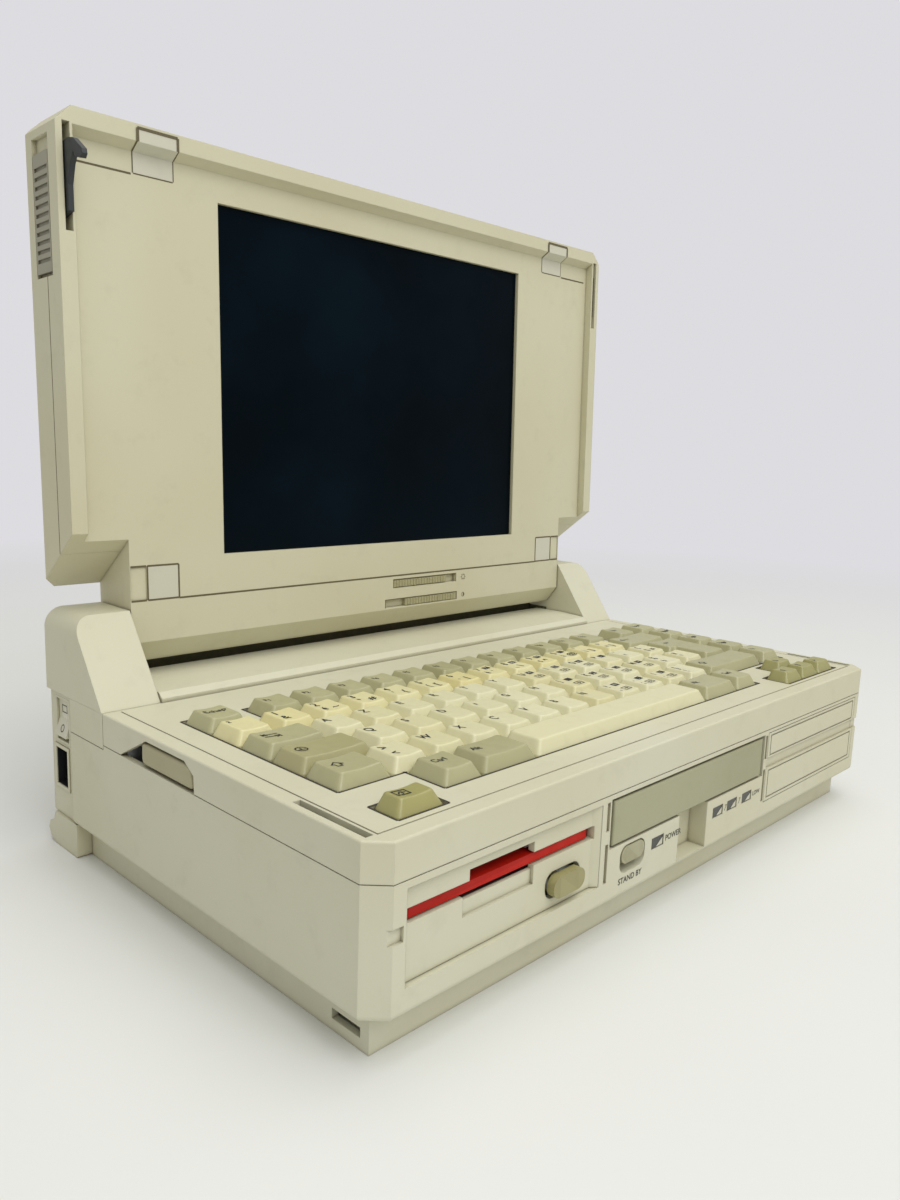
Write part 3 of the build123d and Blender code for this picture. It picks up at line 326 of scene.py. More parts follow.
def display_glass(tree, place, colour, cloudy):
    """The unlit display under its anti-glare sheet: nearly black with a blue cast, a satin
    reflection, and faint smears where it was wiped. The coating lets little light bounce off,
    which a low index stands for."""
    share = remap(tree, noise(tree, place, 14.0, 3.0), 0.35, 0.7, 0.0, 1.0)
    smears = noise(tree, place, 45.0, 6.0, 0.7)
    return {"Base Color": blend_colours(tree, share, colour, cloudy),
            "Roughness": remap(tree, smears, 0.3, 0.75, 0.16, 0.27), "IOR": 1.12}


def rolled_steel(tree, place, colour):
    """Zinc-plated sheet steel: a spangle a few millimetres across in its sheen."""
    spangle = put(tree, "ShaderNodeTexVoronoi", {"Vector": place, "Scale": 260.0})
    share = remap(tree, spangle.outputs["Distance"], 0.0, 0.8, 0.0, 0.35)
    streaks = noise(tree, place, 120.0, 3.0)
    return {"Base Color": blend_colours(tree, share, colour, scaled(colour, 0.7)),
            "Metallic": 1.0, "Roughness": remap(tree, streaks, 0.3, 0.7, 0.32, 0.46)}


def coated_board(tree, place, mask, tracks):
    """Glass-fibre board under a green solder mask, with the tracks just showing through."""
    lines = put(tree, "ShaderNodeTexWave", {"Vector": place, "Scale": 160.0, "Distortion": 1.5,
                                            "Detail": 1.0}, bands_direction="X")
    share = remap(tree, lines.outputs["Fac"], 0.45, 0.6, 0.0, 0.6)
    return {"Base Color": blend_colours(tree, share, mask, tracks), "Roughness": 0.35}


def moulded_rubber(tree, place, colour, dusty):
    """Rubber: matt, with a bloom of fine dust."""
    share = remap(tree, noise(tree, place, 400.0, 4.0), 0.4, 0.75, 0.0, 0.5)
    return {"Base Color": blend_colours(tree, share, colour, dusty), "Roughness": 0.85}


def pad_printed_ink(tree, place, colour):
    """Pad-printed ink: flat and dull, with its edge slightly worn."""
    share = remap(tree, noise(tree, place, 1500.0, 2.0), 0.5, 0.8, 0.0, 0.4)
    worn = tuple(value * 1.8 + 0.02 for value in colour)
    return {"Base Color": blend_colours(tree, share, colour, worn), "Roughness": 0.7}


# How each finish is made: its kind, its name, its colours, of which four are the user's, and
# what differs from the kind
FINISHES = {
    "base shell": (spark_textured_abs, "textured ABS warm white", "base #c8c4a8", {}),
    "lid shell": (spark_textured_abs, "textured ABS aged cream", "lid #c6c0a1", {}),
    "handle": (spark_textured_abs, "textured ABS olive grey", "#a4a384 #9a9878", {"relief": 0.2}),
    "control": (polished_abs, "satin ABS grey olive", "#a5a283 #989472", {}),
    "eject": (polished_abs, "satin ABS khaki", "#9b9465 #918a5c", {}),
    "slider": (polished_abs, "satin ABS putty", "#a8a27e #9f9975", {"roughness": 0.45}),
    "cream key": (polished_abs, "keycap ABS cream", "cap #d3cc9e", {}),
    "yellow key": (polished_abs, "keycap ABS yellowed", "#dad4a6 #d7cd94", {}),
    "grey key": (polished_abs, "keycap ABS grey green", "modifier #a5a27a", {}),
    "olive grey key": (polished_abs, "keycap ABS olive grey", "#aba57c #a39e72", {}),
    "olive key": (polished_abs, "keycap ABS olive", "#a09c68 #97925c", {}),
    "diskette": (polished_abs, "diskette shell red", "#bc1804 #a61204",
                 {"roughness": 0.5, "index": 1.3}),
    "charcoal": (spark_textured_abs, "moulded nylon charcoal", "#2b3032 #25282a",
                 {"roughness": 0.55, "relief": 0.15}),
    "black": (spark_textured_abs, "moulded plastic black", "#17191a #101112", {}),
    "screen": (display_glass, "anti-glare display", "#030a10 #06131c", {}),
    "steel": (rolled_steel, "zinc plated steel", "#b9bbbd", {}),
    "board": (coated_board, "solder-masked board", "#174326 #2c6238", {}),
    "rubber": (moulded_rubber, "moulded rubber black", "#161616 #2c2b29", {}),
    # Painted shade: a dark strip standing for the shadow in the gap under the lid's neck
    "seal": (moulded_rubber, "painted shade olive", "#46442f #57543d", {}),
    # Painted shade in the lid's grooves and seams, brown like the dirt in them; the slider signs
    # share this colour
    "dirt": (pad_printed_ink, "painted groove shade", "#5f563c", {}),
    # Painted shade for the gap round the fields of keys
    "gap": (pad_printed_ink, "shaded gap", "#37332a", {}),
    "lamp": (polished_abs, "acrylic lamp lens smoked", "#3a3a33 #2e2e29", {"roughness": 0.2}),
    "ink": (pad_printed_ink, "pad-printed ink charcoal", "#242624", {}),
    "fn key": (polished_abs, "keycap ABS dark olive", "#a39e68 #9b955c", {}),
    "button": (spark_textured_abs, "worn ABS warm grey", "#a9a482 #9c9673", {"relief": 0.05}),
    "latch": (spark_textured_abs, "textured ABS pewter", "#9b9885 #918d77", {}),
    "pad": (spark_textured_abs, "textured ABS pale grey", "#cbc9b7 #c3c0ab", {}),
    "rocker": (polished_abs, "rocker ABS ivory", "#cfccb8 #c6c2a9", {"roughness": 0.28}),
}
finishes = {}


def make_finishes(shell, keys):
    """Makes every finish once, from the user's colours."""
    chosen = {"base": shell.base_colour, "lid": shell.lid_colour, "cap": keys.cap_colour,
              "modifier": keys.modifier_colour}
    for finish, (kind, name, colours, options) in FINISHES.items():
        if finish in ("base shell", "lid shell"):
            options = {"grain": shell.grain / MM}
        colours = [tuple(chosen[colour]) if colour in chosen else linear(colour)
                   for colour in colours.split()]
        material, tree, shader, place = new_finish(name)
        wire(tree, shader, kind(tree, place, *colours, **options))
        finishes[finish] = material


KEY_FINISHES = ["cream key", "yellow key", "grey key", "olive grey key", "olive key", "fn key"]
GREY_KEYS = ["function_keys", "shift_keys", "enter_key", "backspace_key", "tab_caps_keys",
             "bottom_modifier_keys", "navigation_keys"]
OLIVE_KEYS = ["cursor_keys", "fn_key"]
KEY_SLOTS = {**dict.fromkeys(GREY_KEYS, "key_grey"), **dict.fromkeys(OLIVE_KEYS, "key_olive")}

NODE_FINISH = {
    "base shell": ["bottom_housing", "rear_panel", "rear_deck", "left_hinge_cover",
                   "right_hinge_cover", "floppy_bezel", "bay_cover", "keyboard_housing",
                   "rear_feet", "handle_guides", "switch_frame"],
    "lid shell": ["lid_rear_cover", "lid_bezel"],
    "pad": ["screw_covers"],
    "latch": ["left_latch_slide", "right_latch_slide"],
    "button": ["left_release_button", "right_release_button"],
    "rocker": ["power_rocker"],
    "handle": ["carry_handle"],
    "control": ["standby_button"],
    "eject": ["eject_button"],
    "slider": ["brightness_slider", "contrast_slider"],
    "cream key": ["number_keys", "upper_letter_keys", "home_letter_keys", "lower_letter_keys",
                  "space_bar"],
    "grey key": GREY_KEYS,
    "olive key": OLIVE_KEYS,
    "diskette": ["diskette"],
    "charcoal": ["left_latch_hook", "right_latch_hook"],
    "black": ["power_inlet", "battery_pack", "speaker", "key_plate"],
    "screen": ["lcd_panel"],
    "steel": ["floppy_drive", "port_connectors", "drive_tray", "hard_drive", "power_supply",
              "hinge_brackets", "housing_screws", "lid_screws", "hinge_pins", "keyboard_tray"],
    "board": ["main_board", "inverter_board"],
    "rubber": ["rubber_feet"],
    "lamp": ["led_windows"],
}


# Making pieces

def lean(corners, share, side, front, back):
    """The corners of an outline with its edges moved in by a share of three leans. A corner
    is x, y and the way that its two edges face."""
    return [(x - face_x * side * share, y - face_y * (back if face_y > 0 else front) * share,
             face_x, face_y) for x, y, face_x, face_y in corners]


def rounded_ring(corners, radius, height=0.0, dish=lambda x: 0.0):
    """One closed ring of points round an outline: five points on each rounded corner and four
    along each edge. The dish gives how far a point lies below the ring's height."""
    flat = []
    for place, (x, y, *_) in enumerate(corners):
        before = corners[place - 1]
        after = corners[(place + 1) % len(corners)]
        into = Vector((x - before[0], y - before[1])).normalized()
        away = Vector((after[0] - x, after[1] - y)).normalized()
        corner = Vector((x, y))
        start, end = corner - into * radius, corner + away * radius
        for step in range(5):
            turn = radians(22.5 * step)
            bend = start.lerp(corner, sin(turn))
            flat.append(bend.lerp(corner.lerp(end, 1 - cos(turn)), 0.5 - 0.5 * cos(2 * turn)))
        gap_end = Vector(after[:2]) - away * radius
        flat.extend(end.lerp(gap_end, step / 5) for step in range(1, 5))
    return [(point.x, point.y, height - dish(point.x)) for point in flat]


def bridge(shape, loops):
    """Joins each closed loop of points to the next with faces."""
    for lower, upper in zip(loops, loops[1:]):
        for place in range(len(lower)):
            ahead = (place + 1) % len(lower)
            shape.faces.new((lower[place], lower[ahead], upper[ahead], upper[place]))


def keycap(corners, middle, hollow):
    """A keycap, closed underneath: leaning walls, a small round at the top edge, and a top
    that is hollowed from side to side. Millimetres, in the cell's own place."""
    leans = (SIDE_LEAN, FRONT_LEAN, BACK_LEAN)
    tall = CAP_TOP - SKIRT_TOP
    top = lean(corners, 1.0, *leans)
    reach = max(corner[0] - middle[0] for corner in top)

    def dish(x):
        return hollow * max(0.0, 1 - ((x - middle[0]) / reach) ** 2)

    shape = bmesh.new()
    edges = zip(corners, corners[1:] + corners[:1])
    foot = min(FOOT_ROUND, 0.48 * min(abs(a[0] - b[0]) + abs(a[1] - b[1]) for a, b in edges))
    rings = [rounded_ring(corners, foot, height) for height in (CAP_FOOT, SKIRT_TOP)]
    # Up the walls the corners ease to a smaller round, and the hollow starts to show
    for below in (tall - 0.25, EDGE_SOFT + 0.3):
        share = 1.0 - below / tall
        rings.append(rounded_ring(lean(corners, share, *leans), foot + (TOP_ROUND - foot) * share,
                                  CAP_TOP - below, lambda x: share * dish(x)))
    for step in range(5):
        t = step / 4
        below = EDGE_SOFT * (1 - t) ** 2
        outline = lean(corners, 1.0 - below / tall, *leans)
        outline = lean(outline, EDGE_SOFT * t ** 2, 1.0, 1.0, 1.0)
        rings.append(rounded_ring(outline, TOP_ROUND - 0.5 * t, CAP_TOP - below, dish))
    rim = [Vector(point[:2]) for point in rings[-1]]
    for share in TOP_RINGS:
        inner = [Vector(middle).lerp(point, share) for point in rim]
        rings.append([(x, y, CAP_TOP - dish(x)) for x, y in inner])
    loops = [[shape.verts.new(point) for point in ring] for ring in rings]
    centre = shape.verts.new((*middle, CAP_TOP - hollow))
    bridge(shape, loops)
    for start, end in zip(loops[-1], loops[-1][1:] + loops[-1][:1]):
        shape.faces.new((start, end, centre))
    shape.faces.new(reversed(loops[0]))
    for face in shape.faces:
        face.smooth = len(face.verts) < 5
    for start, end in zip(loops[0], loops[0][1:] + loops[0][:1]):
        shape.edges.get((start, end)).smooth = False
    return shape


def cell_corners(left, near, along, across):
    """The four corners of a key's cell, less the gap to its neighbours."""
    right, far = left + along - CAP_GAP, near + across - CAP_GAP
    left, near = left + CAP_GAP, near + CAP_GAP
    return [(left, near, -1, -1), (right, near, 1, -1), (right, far, 1, 1), (left, far, -1, 1)]


def new_row_tree():
    """Geometry nodes that set copies of a piece in a straight row."""
    tree = bpy.data.node_groups.new("row of like pieces", "GeometryNodeTree")
    sockets = [("Piece", "NodeSocketGeometry"), ("Count", "NodeSocketInt"),
               ("Step", "NodeSocketVector"), ("Finish", "NodeSocketMaterial")]
    for name, kind in sockets:
        tree.interface.new_socket(name, in_out="INPUT", socket_type=kind)
    tree.interface.new_socket("Row", in_out="OUTPUT", socket_type="NodeSocketGeometry")
    given = put(tree, "NodeGroupInput").outputs
    line = put(tree, "GeometryNodeMeshLine", {"Count": given["Count"], "Offset": given["Step"]})
    copies = put(tree, "GeometryNodeInstanceOnPoints", {"Points": line.outputs["Mesh"],
                                                        "Instance": given["Piece"]})
    real = put(tree, "GeometryNodeRealizeInstances", {"Geometry": copies.outputs["Instances"]})
    coated = put(tree, "GeometryNodeSetMaterial", {"Geometry": real.outputs["Geometry"],
                                                   "Material": given["Finish"]})
    put(tree, "NodeGroupOutput", {"Row": coated.outputs["Geometry"]})
    return tree


def add_object(name, data):
    """Links a new object at the origin."""
    piece = bpy.data.objects.new(name, data)
    bpy.context.scene.collection.objects.link(piece)
    return piece


def row_of(shape, count, step, finish):
    """Repeats a shape along a straight line with geometry nodes, as a plain mesh."""
    holder = to_object(shape, "row_holder", finish)
    tree = bpy.data.node_groups.get("row of like pieces") or new_row_tree()
    row = holder.modifiers.new("Row", "NODES")
    row.node_group = tree
    wanted = {"Count": count, "Step": step, "Finish": finishes[finish]}
    for socket in tree.interface.items_tree:
        if socket.in_out == "INPUT" and socket.name in wanted:
            row[socket.identifier] = wanted[socket.name]
    depsgraph = bpy.context.evaluated_depsgraph_get()
    mesh = bpy.data.meshes.new_from_object(holder.evaluated_get(depsgraph))
    old = holder.data
    bpy.data.objects.remove(holder)
    bpy.data.meshes.remove(old)
    return mesh


def joined(meshes, finish):
    """Joins plain meshes into one shape that keeps each one's finish, out of a list of them."""
    shape = bmesh.new()
    for mesh in meshes:
        coat = [finishes[key] for key in finish].index(mesh.materials[0])
        for polygon in mesh.polygons:
            polygon.material_index = coat
        shape.from_mesh(mesh)
        bpy.data.meshes.remove(mesh)
    return shape


def to_metres(shape):
    """Turns a shape in millimetres, with depths behind the front face, to its place."""
    for vert in shape.verts:
        vert.co = at(*vert.co)
    return shape


def words(texts):
    """Meshes of short words in the plain built-in face, from text and size."""
    holders = []
    for text, size in texts:
        curve = bpy.data.curves.new("word", "FONT")
        curve.body = text
        curve.size = size
        curve.resolution_u = 3
        curve.offset = 0.015 * size
        holders.append(add_object("word", curve))
    depsgraph = bpy.context.evaluated_depsgraph_get()
    meshes = [bpy.data.meshes.new_from_object(h.evaluated_get(depsgraph)) for h in holders]
    for holder in holders:
        curve = holder.data
        bpy.data.objects.remove(holder)
        bpy.data.curves.remove(curve)
    return meshes


def add_face(shape, points):
    """Adds a face with corners of its own."""
    return shape.faces.new([shape.verts.new(point) for point in points])


def print_word(shape, mesh, place):
    """Adds a word's faces to a shape, each point moved by a function of its place."""
    verts = [shape.verts.new(place(vert.co.x, vert.co.y)) for vert in mesh.vertices]
    for polygon in mesh.polygons:
        shape.faces.new([verts[index] for index in polygon.vertices])
    bpy.data.meshes.remove(mesh)


def print_line(shape, points, weight, place):
    """Adds a printed line of even weight through some points."""
    for start, end in zip(points, points[1:]):
        start, end = Vector(start), Vector(end)
        along = (end - start).normalized() * weight / 2
        side = Vector((-along.y, along.x))
        corners = [start - along - side, end + along - side, end + along + side,
                   start - along + side]
        add_face(shape, [place(*corner) for corner in corners])


def print_mark(shape, mark, weight, place, swell=1.0):
    """Adds one of the line marks, drawn larger by a factor."""
    for line in MARKS[mark]:
        print_line(shape, [(swell * right, swell * up) for right, up in line], weight, place)


def ellipse(middle, across, up):
    """A closed ring of points, from its middle and its two radii."""
    return [(middle[0] + across * cos(radians(30 * step)), middle[1] + up * sin(radians(30 * step)))
            for step in range(13)]


def add_block(shape, across, back, height):
    """Adds a closed block to a shape, from its limits in millimetres."""
    for vert in bmesh.ops.create_cube(shape, size=1.0)["verts"]:
        spot = [sum(ends) / 2 + (ends[1] - ends[0]) * value
                for ends, value in zip((across, back, height), vert.co)]
        vert.co = at(*spot)


def finished(shape, name, finish, body, slot, replaced=()):
    """Turns a shape into a piece, tied to its body and the nodes it stands for. The slot is not
    used.
    """
    piece = to_object(shape, name, finish)
    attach(piece, body)
    if replaced:
        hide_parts(*replaced)


def to_object(shape, name, finish):
    """Turns a bmesh into an object at the origin with one finish."""
    mesh = bpy.data.meshes.new(name)
    shape.to_mesh(mesh)
    shape.free()
    for material in finish if isinstance(finish, list) else [finish]:
        mesh.materials.append(finishes[material])
    return add_object(name, mesh)


# Keys and their legends. Each row: node, left edge, near edge, width, depth, finish, and one
# legend for each key: upper left, lower left and lower right characters with spaces between.

def row_at(level):
    """How far behind the front face a row of keys starts."""
    return KEYS_FRONT + PITCH * level


def block_row(node, shift, level, widths, finish, legends):
    """A row of keys in the main block, set out in whole and part keys."""
    left = KEYS_LEFT + shift * PITCH
    return (node, left, row_at(level), widths * PITCH, PITCH, finish, legends)


def cells(left, near, along, across, corners):
    """The outline of a field of keys, from its corners counted in keys."""
    return [(left + right * along, near + level * across) for right, level in corners]


KEY_ROWS = [
    block_row("function_keys", 0, 5, 1, "grey key", ["Echap"]),
    ("function_keys", FUNCTION_LEFT, row_at(5), PITCH, PITCH, "grey key",
     [f"F{number}" for number in range(1, 13)]),
    ("function_keys", KEYS_RIGHT - PITCH, row_at(5), PITCH, PITCH, "grey key", ["Arr"]),
    block_row("number_keys", 0, 4, 1, "yellow key",
              ["²", "1 &", "2 é ~", '3 " #', "4 ' {", "5 ( [", "6 - |", "7 è `", "8 _ \\", "9 ç ^",
               "0 à @", "° ) ]", "+ = }"]),
    block_row("upper_letter_keys", 1.5, 3, 1, "cream key", [*"AZERTYUIOP", "¨ ^", "£ $ ¤"]),
    block_row("home_letter_keys", 1.75, 2, 1, "cream key", [*"QSDFGHJKLM", "% ù", "µ *"]),
    block_row("lower_letter_keys", 1.25, 1, 1, "cream key",
              ["> <", *"WXCVBN", "? ,", ". ;", "/ :", "§ !"]),
    block_row("space_bar", 4, 0, 6.25, "cream key", [""]),
    block_row("shift_keys", 0, 1, 1.25, "grey key", ["shift_arrow"]),
    block_row("shift_keys", 12.25, 1, 2.75, "grey key", ["shift_arrow"]),
    block_row("backspace_key", 13, 4, 2, "grey key", ["left_arrow"]),
    block_row("tab_caps_keys", 0, 3, 1.5, "grey key", ["tab_arrows"]),
    block_row("tab_caps_keys", 0, 2, 1.75, "olive grey key", ["lock"]),
    block_row("bottom_modifier_keys", 1.5, 0, 1, "grey key", ["Ctrl"]),
    block_row("bottom_modifier_keys", 2.5, 0, 1.5, "grey key", ["Alt"]),
    block_row("bottom_modifier_keys", 10.25, 0, 1.5, "grey key", ["Alt"]),
    block_row("bottom_modifier_keys", 11.75, 0, 1, "grey key", ["Ctrl"]),
    *[("navigation_keys", NAVIGATION_LEFT, row_at(level), PITCH, PITCH, "grey key", [legend])
      for level, legend in enumerate(["Fin", "Page", "Page", "Suppr", "Inser"], start=1)],
    ("cursor_keys", CURSOR_LEFT, CURSOR_FRONT, CURSOR_PITCH, CURSOR_DEPTH, "olive key",
     ["left_point", "down_point", "right_point"]),
    ("cursor_keys", CURSOR_LEFT + CURSOR_PITCH, CURSOR_FRONT + CURSOR_DEPTH, CURSOR_PITCH,
     CURSOR_DEPTH, "olive key", ["up_point"]),
    ("fn_key", FN_KEY_LEFT, FN_KEY_FRONT, FUNCTION_WIDTH, CURSOR_DEPTH, "fn key",
     ["function_mark"]),
]
KEY_FIELDS = [
    cells(KEYS_LEFT, KEYS_FRONT, PITCH, PITCH,
          [(1.5, 0), (12.75, 0), (12.75, 1), (15, 1), (15, 6), (14, 6), (14, 5)])
    + cells(FUNCTION_LEFT, KEYS_FRONT, PITCH, PITCH, [(12, 5), (12, 6), (0, 6), (0, 5)])
    + cells(KEYS_LEFT, KEYS_FRONT, PITCH, PITCH, [(1, 5), (1, 6), (0, 6), (0, 1), (1.5, 1)]),
    cells(NAVIGATION_LEFT, KEYS_FRONT, PITCH, PITCH, [(0, 1), (1, 1), (1, 6), (0, 6)]),
    cells(CURSOR_LEFT, CURSOR_FRONT, CURSOR_PITCH, CURSOR_DEPTH,
          [(0, 0), (3, 0), (3, 1), (2, 1), (2, 2), (1, 2), (1, 1), (0, 1)]),
    cells(FN_KEY_LEFT, FN_KEY_FRONT, FUNCTION_WIDTH, CURSOR_DEPTH,
          [(0, 0), (1, 0), (1, 1), (0, 1)]),
]
ENTER_LEFT = KEYS_LEFT + 13.75 * PITCH
ENTER_STEP = KEYS_LEFT + 13.5 * PITCH
ENTER_NEAR = row_at(2)

# The small keypad that some keys double as: its figures stand in dark squares
KEYPAD = {"7": "7", "8": "8", "9": "9", "0": "*", "U": "4", "I": "5", "O": "6", "P": "-",
          "J": "1", "K": "2", "L": "3", "M": "+", "?": "0", ".": ".", "/": "/"}

# Keys that move the cursor when the keypad is off: each has a small framed arrow
CURSOR_KEYS = ["U", "I", "O", "J", "K", "L", "M", "?", ".", "/"]

# Line marks, three or so millimetres tall, from their own lower left corner
MARKS = {
    "shift_arrow": [[(0, 1.3), (1.7, 2.9), (3.4, 1.3), (2.5, 1.3), (2.5, 0), (0.9, 0), (0.9, 1.3),
                     (0, 1.3)]],
    "left_arrow": [[(5.4, 1.4), (0, 1.4)], [(1.5, 2.4), (0, 1.4), (1.5, 0.4)]],
    "enter_arrow": [[(4.2, 3.0), (4.2, 1.0), (0, 1.0)], [(1.4, 2.0), (0, 1.0), (1.4, 0)]],
    "tab_arrows": [[(0, 1.8), (0, 3.2)], [(4.6, 2.5), (0, 2.5)], [(1.2, 3.2), (0, 2.5), (1.2, 1.8)],
                   [(4.6, 0), (4.6, 1.4)], [(0, 0.7), (4.6, 0.7)],
                   [(3.4, 1.4), (4.6, 0.7), (3.4, 0)]],
    "lock": [ellipse((1.7, 1.6), 1.7, 1.5), [(0.8, 1.2), (2.6, 1.2)], [(1.7, 1.2), (1.7, 2.4)]],
    "framed_arrow": [[(0, 0), (4.0, 0), (4.0, 3.2), (0, 3.2), (0, 0)], [(1.0, 1.6), (3.0, 1.6)],
                     [(2.1, 2.4), (3.0, 1.6), (2.1, 0.8)]],
    "left_point": [[(2.4, 0), (0, 1.1), (2.4, 2.2), (2.4, 0)]],
    "right_point": [[(0, 0), (2.4, 1.1), (0, 2.2), (0, 0)]],
    "up_point": [[(0, 0), (1.3, 2.2), (2.6, 0), (0, 0)]],
    "down_point": [[(0, 2.2), (1.3, 0), (2.6, 2.2), (0, 2.2)]],
    "function_mark": [[(0, 0), (4.4, 0), (4.4, 3.0), (0, 3.0), (0, 0)], [(0.9, 0.9), (2.0, 2.1)],
                      [(2.5, 0.9), (2.5, 2.1), (3.5, 1.5)]],
}


class ShellSettings(bpy.types.PropertyGroup):
    base_colour: bpy.props.FloatVectorProperty(
        name="Base colour", description="Colour of the base and keyboard shells",
        subtype="COLOR", default=linear("#cdcbb3"), min=0, max=1)
    lid_colour: bpy.props.FloatVectorProperty(
        name="Lid colour", description="Colour of the display lid's shells",
        subtype="COLOR", default=linear("#cbc7ab"), min=0, max=1)
    grain: bpy.props.FloatProperty(
        name="Grain", description="Distance between the grains of the shells' texture",
        unit="LENGTH", default=0.7 * MM, min=0.1 * MM, max=3 * MM)


class KeySettings(bpy.types.PropertyGroup):
    hollow: bpy.props.FloatProperty(
        name="Hollow", description="Depth of the hollow in a keycap's top", unit="LENGTH",
        default=0.55 * MM, min=0, max=1.5 * MM)
    letter_size: bpy.props.FloatProperty(
        name="Letter size", description="Type size of the letters on the keys", unit="LENGTH",
        default=5.4 * MM, min=1 * MM, max=8 * MM)
    cap_colour: bpy.props.FloatVectorProperty(
        name="Keycap colour", description="Colour of the letter keys", subtype="COLOR",
        default=linear("#d9d6b2"), min=0, max=1)
    modifier_colour: bpy.props.FloatVectorProperty(
        name="Modifier colour", description="Colour of the function and modifier keys",
        subtype="COLOR", default=linear("#b0ad86"), min=0, max=1)


class StageSettings(bpy.types.PropertyGroup):
    focal_length: bpy.props.FloatProperty(
        name="Focal length", description="Lens of the camera in millimetres", default=28.02,
        min=10, max=200)
    floor_colour: bpy.props.FloatVectorProperty(
        name="Floor colour", description="Colour of the table top", subtype="COLOR",
        default=linear("#dfe0dc"), min=0, max=1)
    wall_colour: bpy.props.FloatVectorProperty(
        name="Wall colour", description="Colour behind the object", subtype="COLOR",
        default=linear("#dddce0"), min=0, max=1)
    soft_light: bpy.props.FloatProperty(
        name="Soft light", description="Strength of the even light from all round", default=0.51,
        min=0, max=5)


class COMPUTER_OT_finish_nodes(bpy.types.Operator):
    """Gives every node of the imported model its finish"""
    bl_idname = "computer.finish_nodes"
    bl_label = "Finish nodes"

    def execute(self, context):
        make_finishes(context.scene.computer_shell, context.scene.computer_keys)
        for finish, names in NODE_FINISH.items():
            for name in names:
                mesh = nodes[name].data
                mesh.materials.clear()
                mesh.materials.append(finishes[finish])
        return {"FINISHED"}


class COMPUTER_OT_make_keycaps(bpy.types.Operator):
    """Makes the keycaps, which stand for the plain ones of the model"""
    bl_idname = "computer.make_keycaps"
    bl_label = "Make keycaps"

    def execute(self, context):
        hollow = context.scene.computer_keys.hollow / MM
        groups = {}
        for node, left, near, along, across, finish, legends in KEY_ROWS:
            depth = 0.0 if along > LONG_KEY else hollow
            middle = (left + along / 2, near + across / 2)
            shape = to_metres(keycap(cell_corners(left, near, along, across), middle, depth))
            step = (along * MM, 0, 0)
            groups.setdefault(node, []).append(row_of(shape, len(legends), step, finish))
        right, far = KEYS_RIGHT - CAP_GAP, ENTER_NEAR + 2 * PITCH - CAP_GAP
        corners = [
            (ENTER_LEFT + CAP_GAP, ENTER_NEAR + CAP_GAP, -1, -1),
            (right, ENTER_NEAR + CAP_GAP, 1, -1), (right, far, 1, 1),
            (ENTER_STEP + CAP_GAP, far, -1, 1),
            (ENTER_STEP + CAP_GAP, ENTER_NEAR + PITCH + CAP_GAP, -1, -1),
            (ENTER_LEFT + CAP_GAP, ENTER_NEAR + PITCH + CAP_GAP, -1, -1),
        ]
        middle = ((ENTER_LEFT + KEYS_RIGHT) / 2, ENTER_NEAR + 1.5 * PITCH)
        enter = to_metres(keycap(corners, middle, hollow))
        groups["enter_key"] = [row_of(enter, 1, (0, 0, 0), "grey key")]
        for node, meshes in groups.items():
            finished(joined(meshes, KEY_FINISHES), f"{node}_caps", KEY_FINISHES, f"{node}_group",
                     KEY_SLOTS.get(node, "key_cream"), [node])
        return {"FINISHED"}


